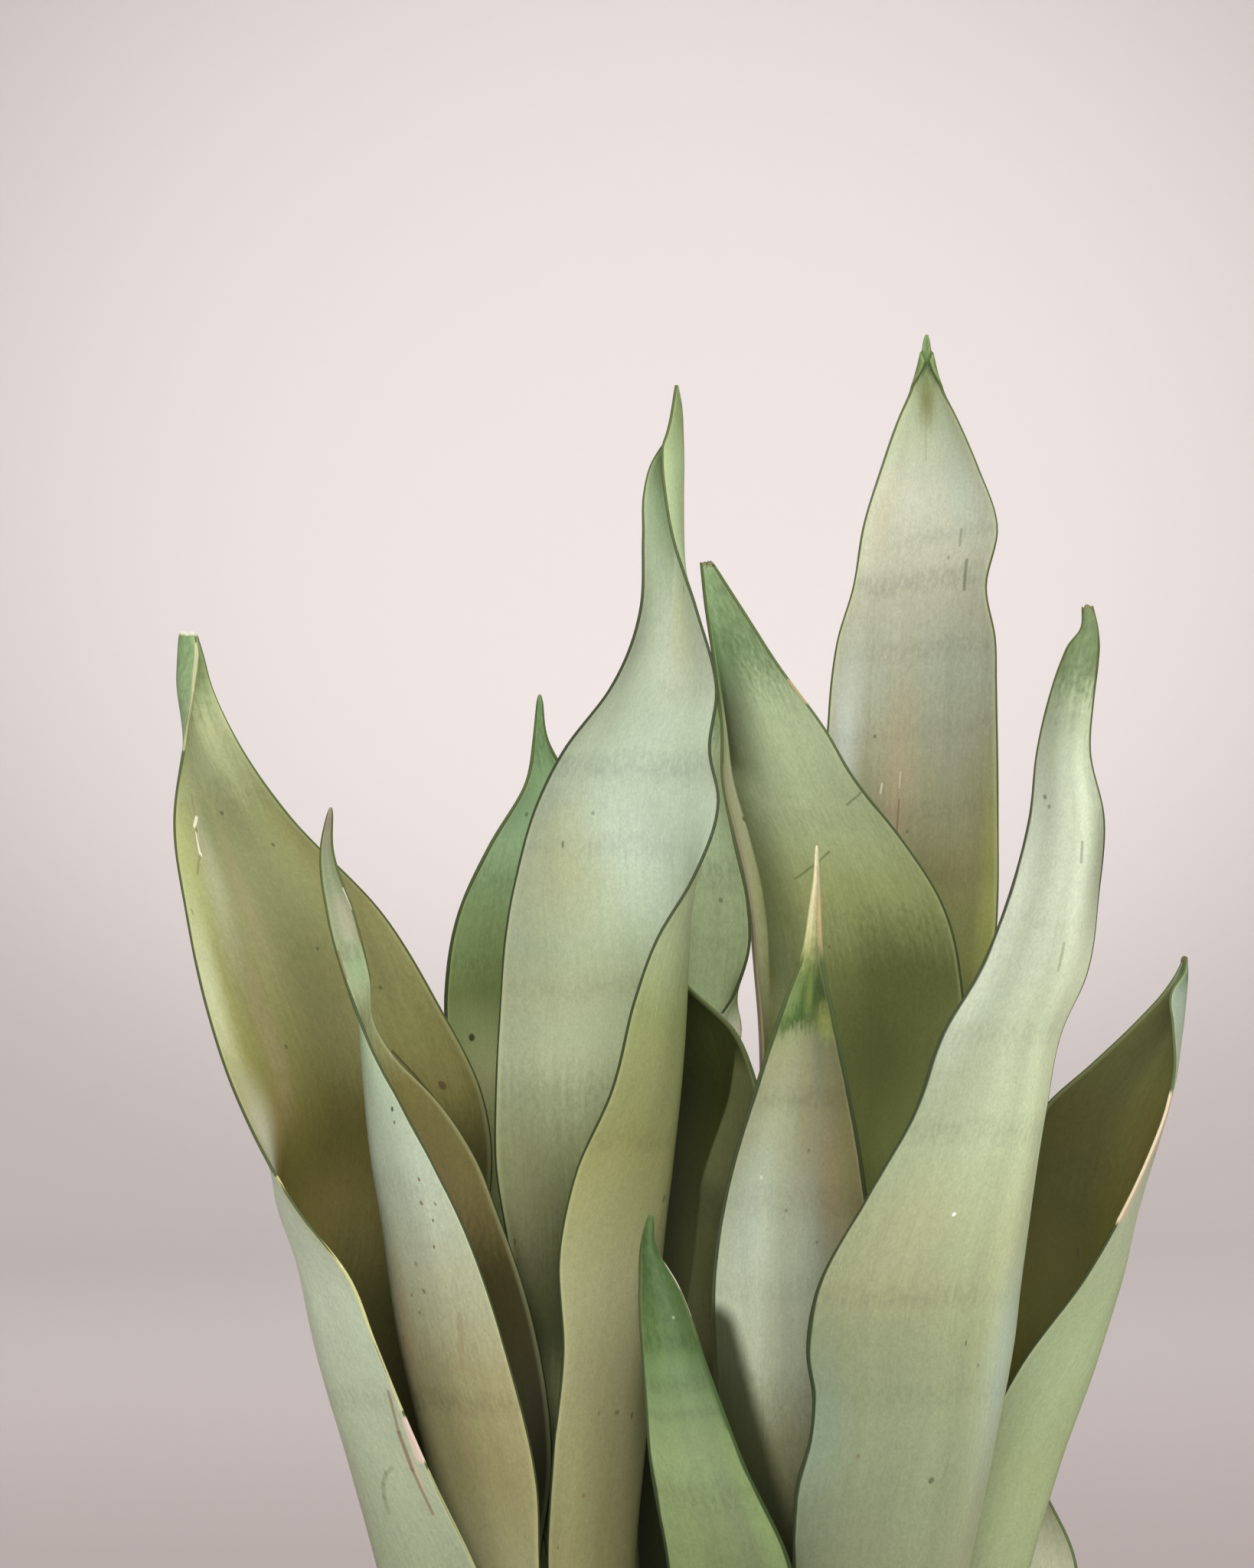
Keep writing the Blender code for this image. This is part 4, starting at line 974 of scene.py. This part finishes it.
LOOKS["leaf_cream_spine"] = dict(
    front=[
        (150, (92, 92, 58)), (180, (140, 142, 104)), (205, (182, 189, 160)), (240, (170, 178, 152)),
        (270, (158, 164, 134)), (300, (150, 156, 118)), (305, (142, 151, 108)), (309, (68, 93, 44)),
        (318, (80, 104, 52)), (325, (108, 125, 68)), (331, (150, 154, 98)), (337, (184, 182, 134)),
        (348, (198, 192, 148)), (361, (230, 221, 180)),
    ],
    # Its right side is painted darker across the face, as painted shade inside the channel.
    front_painted_shade=(1.16, 1.18, 0.9, 0.6, 0.5),
    back=[
        (150, (140, 146, 112)), (300, (160, 168, 130)), (312, (110, 136, 76)), (330, (160, 164, 110)),
        (361, (206, 196, 152)),
    ],
    # The dark patch at the right low down is painted shade inside the channel, and the two dark patches low
    # at the left margin are a painted shadow of the front blade.
    tints_and_painted_light=[
        wash(0.12, 282, 0.3, 36, (134, 124, 88), 0.6), wash(0.5, 262, 0.35, 44, (144, 126, 88), 0.55),
        wash(-1.0, 186, 0.6, 40, (40, 47, 24), 0.9), wash(-0.8, 158, 0.6, 32, (44, 50, 26), 0.9),
        wash(0.9, 342, 0.7, 18, (198, 168, 114), 0.6), wash(0.85, 264, 0.5, 60, (128, 118, 60), 0.6),
        wash(0.05, 317, 0.3, 12, (122, 138, 66), 0.6), wash(0.7, 309, 0.6, 9, (150, 158, 88), 0.7),
        wash(-0.6, 250, 0.5, 40, (182, 196, 180), 0.5), wash(-0.7, 316, 0.5, 10, (150, 172, 112), 0.6),
    ],
    bands=[band(286, 6, 0.5), band(255, 8, 0.35), band(228, 7, 0.3)],
    marks=[
        # The wide dark stroke is a painted shadow of the front blade, falling diagonally across it.
        stroke(-1.0, 214, -0.25, 140, 19, (46, 51, 23), 0.92), dot(0.2, 270, 1.0, INK, 0.4),
        dot(-0.5, 262, 1.0, (236, 238, 228), 0.5), dot(0.75, 238, 1.2, BROWN, 0.5),
        dot(0.3, 242, 1.0, INK, 0.4), dot(-0.1, 252, 0.9, INK, 0.4), dot(0.66, 233, 0.9, INK, 0.4),
    ],
    tip=(3, (214, 206, 170), 0.5), bare=30, line=1.9,
)
LOOKS["leaf_front"] = dict(
    front=[
        (60, (110, 126, 82)), (153, (116, 131, 87)), (182, (132, 150, 104)), (206, (112, 136, 90)),
        (214, (98, 124, 74)), (239, (70, 90, 46)), (252, (72, 92, 48)),
    ],
    front_painted_shade=(1.34, 1.22, 0.93, 0.78, 0.7),
    back=[(60, (118, 130, 92)), (252, (110, 132, 84))],
    tints_and_painted_light=[wash(0.85, 164, 0.4, 44, (140, 166, 96), 0.4)],
    bands=[band(215, 5, 0.9), band(203, 5, 0.7), band(194, 3, 0.5), band(170, 8, 0.5)],
    marks=[
        stroke(1.0, 237, 1.0, 231, 3.0, (232, 222, 204), 0.95, None),
        dot(0.2, 222, 0.8, (170, 190, 150), 0.5), stroke(0.94, 232, 0.95, 222, 0.6, (210, 200, 170), 0.6),
        stroke(0.9, 214, 0.93, 190, 3.0, (62, 88, 48), 0.5),
    ],
    tip=(40, (78, 104, 58), 0.7), margin=(34, 52, 22), line=2.6,
)
LOOKS["leaf_front_right"] = dict(
    front=[
        (120, (138, 146, 110)), (152, (143, 152, 117)), (185, (151, 163, 127)), (217, (157, 166, 126)),
        (249, (177, 187, 145)), (281, (189, 202, 163)), (313, (188, 200, 168)), (345, (198, 208, 181)),
        (378, (192, 203, 177)), (404, (172, 186, 152)), (434, (134, 154, 100)),
    ],
    # Its right side is painted brighter across the face, as painted light on the side turned to the light.
    front_painted_shade=(0.74, 0.8, 0.95, 1.42, 1.9),
    back=[(120, (120, 124, 86)), (375, (150, 160, 118)), (434, (130, 148, 98))],
    # The pale patches at the right low down and at the left high up are painted light.
    tints_and_painted_light=[
        wash(-0.95, 190, 0.28, 40, (138, 158, 136), 0.6), wash(0.9, 362, 0.7, 52, (140, 148, 118), 0.85),
        wash(0.65, 175, 0.5, 50, (188, 200, 166), 0.4), wash(-0.6, 230, 0.9, 12, (156, 156, 112), 0.35),
        wash(-0.6, 250, 0.5, 30, (168, 168, 124), 0.4), wash(-0.9, 345, 0.45, 74, (222, 232, 208), 0.7),
        wash(0.95, 225, 0.5, 90, (196, 212, 186), 0.6), wash(0.62, 208, 0.42, 46, (196, 218, 196), 0.75),
    ],
    bands=[
        band(307, 6, 0.35), band(278, 7, 0.4), band(228, 6, 0.35, -0.4, 1.6), band(200, 6, 0.2),
        band(340, 5, 0.2), band(400, 5, 0.4),
    ],
    marks=[
        dot(-0.3, 253, 1.0, (240, 242, 232), 0.9), dot(-0.08, 175, 1.7, INK, 0.6),
        dot(-0.67, 182, 1.1, BROWN, 0.6), dot(-0.6, 377, 1.2, INK, 0.6), dot(-0.5, 374, 0.9, INK, 0.5),
        stroke(0.3, 364, 0.32, 358, 1.0, INK, 0.4), stroke(0.25, 334, 0.27, 326, 1.0, (140, 152, 118), 0.5),
        dot(0.25, 208, 1.0, INK, 0.4),
    ],
    tip=(32, (110, 130, 88), 0.85), cut=0.5, line=2.4,
)
LOOKS["leaf_far_right"] = dict(
    # The front is the inside of the channel: its dark olive is partly the leaf's own and partly painted
    # shade.
    front=[
        (150, (106, 106, 46)), (219, (104, 103, 42)), (250, (90, 88, 40)), (280, (96, 95, 50)),
        (311, (108, 112, 68)), (327, (112, 126, 84)),
    ],
    front_painted_shade=(0.82, 0.7, 1.1, 1.5, 1.5),
    back=[
        (145, (166, 180, 134)), (173, (170, 185, 137)), (201, (178, 196, 149)), (229, (190, 208, 161)),
        (257, (220, 234, 196)), (294, (196, 212, 182)), (312, (172, 190, 166)), (327, (124, 144, 116)),
    ],
    back_painted_shade=(1.0, 1.0, 1.05, 0.92, 0.8),
    tints_and_painted_light=[wash(0.2, 268, 0.4, 30, (118, 104, 66), 0.4), wash(0.75, 278, 0.4, 34, (124, 122, 82), 0.6)],
    bands=[band(262, 8, 0.25)],
    marks=[
        stroke(1.0, 284, 1.0, 267, 7.4, DRY, 0.95, None), stroke(1.0, 262, 1.0, 251, 6.4, DRY, 0.95, None),
        stroke(0.92, 288, 0.92, 268, 0.9, (150, 116, 78), 0.7, 0),
        stroke(0.93, 264, 0.95, 249, 0.9, (150, 116, 78), 0.7, 0), dot(0.7, 300, 1.0, INK, 0.4),
    ],
    tip=(10, (104, 128, 96), 0.7), cut=0.5,
)
LOOKS["leaf_short_back"] = dict(
    front=[(60, (150, 158, 120)), (138, (220, 222, 192)), (160, (226, 228, 200)), (186, (178, 194, 148))],
    back=[(60, (126, 134, 98)), (186, (140, 154, 112))],
    bands=[band(160, 6, 0.4)],
    tip=(18, (116, 136, 88), 0.7),
)


# The painted light and shade across a face that is the same all over, which leaves its colour as it is
EVEN = (1.0, 1.0, 1.0, 1.0, 1.0)


def stops(colours):
    """Stops of the ramp up a blade, from its pale foot on."""
    foot = [(0.0, FOOT_PALE), (0.05, FOOT_GREEN)]
    return foot + [(height / RAMP_TOP, tone(*colour)) for height, colour in colours]


def face_colour(paint, looks, key, share, side):
    """One face's colour: its ramp up the blade, with painted shade and light in it, times its painted light
    and shade across it, halved to fit a ramp.
    """
    up = paint.ramp(share, stops(looks[key]))
    across = looks.get(key + "_painted_shade", EVEN)
    grey = [(k / 4, (value / 2, value / 2, value / 2, 1)) for k, value in enumerate(across)]
    over = paint.ramp(side, grey, "EASE")
    half = paint.mix(1.0, up, over, "MULTIPLY")
    return paint.node("VectorMath", {0: half, "Scale": 2.0}, operation="SCALE")


def with_marks(paint, colour, blade, marks, spots, shape):
    """The colour with strokes or painted shadow edges over it, each in the shape that its mask has."""
    for start, stop, width, patch, strength, on_face in marks:
        spot = spots["margin" if on_face is None else "face"]
        depth = (on_face or 0) * FACE_GAP * MARK_DEPTH
        ends = [(blade.run_at(*end), end[1], depth) for end in (start, stop)]
        colour = paint.mix(paint.times(shape(spot, *ends, width), strength), colour, patch)
    return colour


def blade_material(blade):
    looks = LOOKS[blade.name]
    paint = Paint(blade.name + "_skin", Roughness=0.5, Specular_IOR_Level=0.22)
    where, flow, edge, drop = [paint.field(name) for name in ("where", "flow", "edge", "drop")]
    own = paint.stretch(flow, (1, 1, 1), (0, BLADE_SHIFT * blade.number, 0))
    noises = [paint.noise(paint.stretch(own, pack), detail) for pack, detail in LEAF_NOISES]
    fibre, strand, mottle, dashes, grain = noises
    wander = paint.node("TexNoise", {"Vector": paint.stretch(own, WANDER), "Scale": 1.0}, "Color")

    # Where each point is, a little off, so that the patches' outlines wander and fray along the fibres
    place = paint.move(where, paint.stretch(wander, (0.12, 0.06, 0), (-0.06, -0.03, 0)))
    streaks = paint.node("CombineXYZ", {1: paint.sum(fibre, dashes)})
    frayed_place = paint.move(place, paint.stretch(streaks, (0, 0.09, 0), (0, -0.09, 0)))
    shaken = paint.stretch(wander, (2.4, 2.4, 0), (-1.2, -1.2, 0))
    spots = {}
    for kind, depth in (("face", MARK_DEPTH), ("margin", 0)):
        inputs = {0: flow, 1: (1 / MM, 1 / MM, depth), 2: shaken}
        spots[kind] = paint.node("VectorMath", inputs, operation="MULTIPLY_ADD")

    # The two faces' colours with their painted light and shade, the soft patches of tint and of painted light
    # and shade, and the painted shadow edges
    share = paint.times(paint.part(frayed_place, "Y"), PATCH_UNIT / RAMP_TOP)
    side = paint.sum(paint.times(paint.part(place, "X"), 0.5), 0.5)
    front, back = [face_colour(paint, looks, key, share, side) for key in ("front", "back")]
    colour = paint.mix(paint.ease(paint.part(where, "Z"), 0.45, 0.55), front, back)
    for centre, reach, patch, strength in looks.get("tints_and_painted_light", ()):
        colour = paint.mix(paint.times(paint.near(frayed_place, centre, reach, 0.0), strength), colour, patch)
    colour = with_marks(paint, colour, blade, looks.get("folds", ()), spots, paint.beside)

    # The fine grain of the leaf and its cross bands
    shade = paint.ease(strand, 0.3, 0.7, 0.98, 1.02)
    for texture, start, stop, low, high in (
        (fibre, 0.25, 0.75, 0.98, 1.02),
        (mottle, 0.3, 0.7, 0.96, 1.04),
        (dashes, 0.25, 0.75, 0.95, 1.045),
        (grain, 0.2, 0.8, 0.93, 1.07),
    ):
        shade = paint.times(shade, paint.ease(texture, start, stop, low, high))
    dashed = paint.ease(dashes, 0.25, 0.75, 1.0, 0.3)
    rise = paint.times(paint.part(where, "X"), -looks.get("tilt", 0) / 100)
    tilted = paint.move(place, paint.node("CombineXYZ", {1: rise}))
    for centre, reach, strength in looks["bands"]:
        mask = paint.times(paint.near(tilted, centre, reach, 0.1), BAND_SHADE * strength)
        shade = paint.times(shade, paint.math("SUBTRACT", 1.0, paint.times(mask, dashed)))

    # The darker tip, whose edge frays down the fibres
    reach, green, strength = looks["tip"]
    fray = min(reach * 0.22, FRAY)
    frayed = paint.sum(drop, paint.ease(paint.sum(fibre, dashes), 0.6, 1.4, -fray, fray))
    tip = paint.ease(frayed, reach * 1.05, reach * 0.5)
    colour = paint.mix(paint.times(tip, strength), colour, tone(*green))
    shade = paint.times(shade, paint.sum(paint.times(paint.ease(dashes, 0.3, 0.7, -0.1, 0.1), tip), 1.0))
    colour = paint.mix(1.0, colour, paint.node("CombineXYZ", {0: shade, 1: shade, 2: shade}), "MULTIPLY")

    # The pale halo and the dark line along the margins, and the brown of a torn end
    line = looks.get("line", MARGIN_LINE)
    worn = paint.ease(mottle, 0.3, 0.7, 0.8 * line, 1.3 * line)
    colour = paint.mix(paint.ease(edge, 2.2, 0.8, 0.0, 0.2), colour, MARGIN_HALO)
    rim = paint.ease(paint.math("DIVIDE", edge, worn), 0.72, 0.45, 0.0, 0.92)
    if "bare" in looks:
        rim = paint.times(rim, paint.ease(drop, looks["bare"], looks["bare"] * 1.2))
    dark = tone(*looks["margin"]) if "margin" in looks else MARGIN_GREEN
    colour = paint.mix(rim, colour, paint.mix(paint.ease(drop, 90, 20), dark, MARGIN_PALE))
    colour = paint.mix(paint.ease(drop, 1.4, 0.5, 0.0, looks.get("cut", 0.0)), colour, tone(*BROWN))

    # The marks, and specks in a few of the cells of a pattern of stretched cells
    colour = with_marks(paint, colour, blade, looks.get("marks", ()), spots, paint.along)
    cells = {"Vector": paint.stretch(own, SPECKS), "Scale": 1.0}
    away, picked = [paint.node("TexVoronoi", cells, output) for output in ("Distance", "Color")]
    chosen = paint.ease(paint.part(picked, "X"), 0.9, 0.92)
    colour = paint.mix(paint.times(paint.ease(away, 0.09, 0.05, 0.0, 0.6), chosen), colour, tone(*INK))
    paint.give("Base Color", colour)
    paint.give("Roughness", paint.sum(paint.ease(mottle, 0.2, 0.8, 0.44, 0.58), paint.times(rim, 0.4)))
    paint.emboss(paint.sum(paint.times(fibre, 0.6), paint.times(dashes, 0.4)), 0.35, 0.2 * MM)
    return paint.material


def make_blades():
    for number, name in enumerate(BLADES):
        blade = Blade(name, number)
        skin = blade.make(blade_material(blade))
        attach(skin, "root")
        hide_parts(name)


# The pot and the soil
POT_HEIGHT = 0.165
POT_RIM_RADIUS = 0.100
POT_FOOT_RADIUS = 0.076
POT_WALL = 0.006
POT_FLOOR = 0.010
POT_ROUND = 0.003
POT_SEGMENTS = 192
SOIL_GAP = 0.0006
SOIL_MOUND = 0.002
SOIL_RINGS = 70
SOIL_SEGMENTS = 240
SOIL_NOISES = (60, 210, 520)


def pot_radius(height):
    return POT_FOOT_RADIUS + (POT_RIM_RADIUS - POT_FOOT_RADIUS) * height / POT_HEIGHT


def turned(name, profile, segments, surface):
    """A closed shape turned about Z from a profile of (radius, height) that starts and ends on the axis."""
    shape = bmesh.new()
    turns = [2 * math.pi * k / segments for k in range(segments)]
    rings = []
    for radius, height in profile:
        corners = [(radius * math.cos(a), radius * math.sin(a), height) for a in turns]
        rings.append([shape.verts.new(c) for c in (corners if radius else corners[:1])])
    for low, high in zip(rings, rings[1:]):
        for k in range(segments):
            n = (k + 1) % segments
            ring = [low[k % len(low)], low[n % len(low)], high[n % len(high)], high[k % len(high)]]
            shape.faces.new(list(dict.fromkeys(ring)))
    mesh = bpy.data.meshes.new(name)
    shape.to_mesh(mesh)
    shape.free()
    mesh.materials.append(surface)
    mesh.shade_smooth()
    return link(name, mesh)


def rounding(radius, height, round_off, start, steps=7):
    angles = [math.radians(start + 90 * k / steps) for k in range(steps + 1)]
    return [(radius + round_off * math.cos(a), height + round_off * math.sin(a)) for a in angles]


def straight(low, high, steps):
    """Points between two profile corners, so that long faces stay short."""
    return [tuple(a + (b - a) * k / steps for a, b in zip(low, high)) for k in range(1, steps)]


def make_pot():
    paint = Paint("pot_glaze", Specular_IOR_Level=0.4)
    place = paint.node("TexCoord", {}, "Object")
    cloud = paint.noise(paint.stretch(place, (18, 18, 26)), 3)
    throwing = paint.noise(paint.stretch(place, (4, 4, 420)), 2)
    grit = paint.noise(paint.stretch(place, (1500, 1500, 1500)), 2)
    colour = paint.ramp(cloud, [(0.3, tone(222, 216, 206)), (0.7, tone(232, 227, 218))])
    fleck = paint.ease(grit, 0.70, 0.76, 0.0, 0.5)
    colour = paint.mix(fleck, colour, tone(168, 152, 130))
    paint.give("Base Color", colour)
    paint.give("Roughness", paint.ease(cloud, 0.3, 0.7, 0.42, 0.6))
    paint.emboss(paint.sum(throwing, paint.times(grit, 0.3)), 0.3, 0.0003)
    rim = POT_HEIGHT - POT_ROUND
    inner = POT_RIM_RADIUS - POT_WALL
    floor_radius = pot_radius(POT_FLOOR) - POT_WALL
    foot = rounding(POT_FOOT_RADIUS - POT_ROUND, POT_ROUND, POT_ROUND, -90)
    lip = rounding(POT_RIM_RADIUS - POT_ROUND, rim, POT_ROUND, 0)
    lip += rounding(inner + POT_ROUND, rim, POT_ROUND, 90)[1:]
    profile = [(0, 0), *straight((0, 0), foot[0], 6), *foot, *straight(foot[-1], lip[0], 40), *lip]
    profile += [*straight(lip[-1], (floor_radius, POT_FLOOR), 20), (floor_radius, POT_FLOOR), (0, POT_FLOOR)]
    pot = turned("pot_body", profile, POT_SEGMENTS, paint.material)
    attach(pot, "root")
    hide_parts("pot")


def soil_top(x, y):
    """The height of the soil's crumbly surface."""
    out = math.hypot(x, y) / POT_RIM_RADIUS
    clods, lumps, crumbs = [noise.noise(Vector((x, y, k)) * pack) for k, pack in enumerate(SOIL_NOISES)]
    rough = clods * 1.6 + lumps * 1.1 + abs(crumbs) * 1.1 - 0.6
    return SOIL_LEVEL + SOIL_MOUND * (1 - out * out) + rough * MM


def make_soil():
    paint = Paint("soil_mix", Roughness=0.95, Specular_IOR_Level=0.2)
    place = paint.node("TexCoord", {}, "Object")
    clod = paint.noise(paint.stretch(place, (260, 260, 260)), 4)
    fine = paint.noise(paint.stretch(place, (1800, 1800, 1800)), 3)
    colour = paint.ramp(clod, [(0.3, tone(30, 22, 16)), (0.55, tone(58, 43, 31)), (0.75, tone(86, 66, 48))])
    colour = paint.mix(paint.ease(fine, 0.62, 0.72, 0.0, 0.5), colour, tone(120, 98, 74))
    paint.give("Base Color", colour)
    paint.emboss(fine, 0.8, 0.0008)
    radius = pot_radius(SOIL_LEVEL) - POT_WALL - SOIL_GAP
    bottom = POT_FLOOR + SOIL_GAP
    low = pot_radius(bottom) - POT_WALL - SOIL_GAP
    profile = [(0, bottom), (low, bottom), (radius, SOIL_LEVEL - 2 * MM)]
    profile += [(radius * (1 - k / SOIL_RINGS), SOIL_LEVEL) for k in range(SOIL_RINGS + 1)]
    soil = turned("soil_bed", profile, SOIL_SEGMENTS, paint.material)
    for vertex in soil.data.vertices:
        if vertex.co.z > SOIL_LEVEL - MM:
            vertex.co.z = soil_top(vertex.co.x, vertex.co.y)
    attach(soil, "root")
    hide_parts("soil")


# The camera stands level with the middle of the blades, as the photograph's did. The frame is
# 1638 by 2048 pixels, and its longer side takes in 0.48 m of the plant's own plane.
CAMERA_AWAY = 1.600
CAMERA_PLACE = (-0.0284, -CAMERA_AWAY, 0.5311)
CAMERA_LENS = 120
CAMERA_SENSOR = 36


def make_camera():
    data = bpy.data.cameras.new("camera")
    data.lens = CAMERA_LENS
    data.sensor_width = CAMERA_SENSOR
    data.sensor_fit = "AUTO"
    data.clip_end = 100
    camera = link("camera", data)
    camera.location = CAMERA_PLACE
    camera.rotation_euler = (math.radians(90), 0, 0)
    bpy.context.scene.camera = camera


# The studio: a floor that curves up into a wall all round, far outside every view
STUDIO_RADIUS = 7.0
STUDIO_CURVE = 2.5
STUDIO_HEIGHT = 9.0
STUDIO_SEGMENTS = 96


def make_studio():
    paint = Paint("studio_paint", Roughness=0.9, Specular_IOR_Level=0.1)
    place = paint.stretch(paint.node("TexCoord", {}, "Object"), (1, 1, 0))
    away = paint.node("VectorMath", {0: place}, "Value", operation="LENGTH")
    # Painted shade: the floor is darker near the plant and paler from there out to the wall.
    colour = paint.mix(paint.ease(away, 1.5, 5.2), tone(161, 151, 149), tone(219, 212, 210))
    paint.give("Base Color", colour)
    flat = STUDIO_RADIUS - STUDIO_CURVE
    profile = [(0, 0), (flat / 2, 0)] + rounding(flat, STUDIO_CURVE, STUDIO_CURVE, -90, 24)
    profile += [(STUDIO_RADIUS, STUDIO_HEIGHT)]
    studio = turned("studio", profile, STUDIO_SEGMENTS, paint.material)
    studio.data.flip_normals()


# Where the lights point, and the even light from all sides
PLANT_MIDDLE = (0, 0, 0.4)
AIR_LIGHT = 0.45


def add_light(name, kind, place, target, power, **settings):
    data = bpy.data.lights.new(name, kind)
    data.energy = power
    data.color = (1.0, 1.0, 1.0)
    for key, value in settings.items():
        setattr(data, key, value)
    light = link(name, data)
    light.location = place
    light.rotation_euler = (Vector(target) - Vector(place)).to_track_quat("-Z", "Y").to_euler()
    light.visible_camera = False


def make_lights():
    """Four soft lights round the plant, one that grazes the wall and a glow on the wall behind the plant."""
    for name, place, target, size, power in (
        ("key", (1.2, -2.9, 1.9), PLANT_MIDDLE, 2.6, 64),
        ("front", (-0.7, -3.3, 1.6), PLANT_MIDDLE, 2.2, 55),
        ("top", (0.2, 0.2, 3.4), PLANT_MIDDLE, 3.0, 50),
        ("back", (-0.5, 2.8, 2.2), PLANT_MIDDLE, 2.0, 24),
        ("wall_wash", (0.2, 2.8, 3.4), (0.3, 5.2, 0.1), 2.4, 45),
    ):
        add_light(name, "AREA", place, target, power, shape="DISK", size=size)
    glow = {"spot_size": math.radians(37), "spot_blend": 1.0, "shadow_soft_size": 0.3}
    add_light("wall_glow", "SPOT", (0.1, 1.4, 2.0), (0.02, 7.0, 0.92), 585, **glow)
    world = bpy.data.worlds.new("studio_air")
    bpy.context.scene.world = world
    world.use_nodes = True
    world.node_tree.nodes["Background"].inputs["Color"].default_value = (1.0, 1.0, 1.0, 1)
    world.node_tree.nodes["Background"].inputs["Strength"].default_value = AIR_LIGHT


make_camera()
make_studio()
make_lights()
make_pot()
make_soil()
make_blades()
bpy.context.scene.view_settings.view_transform = "Standard"
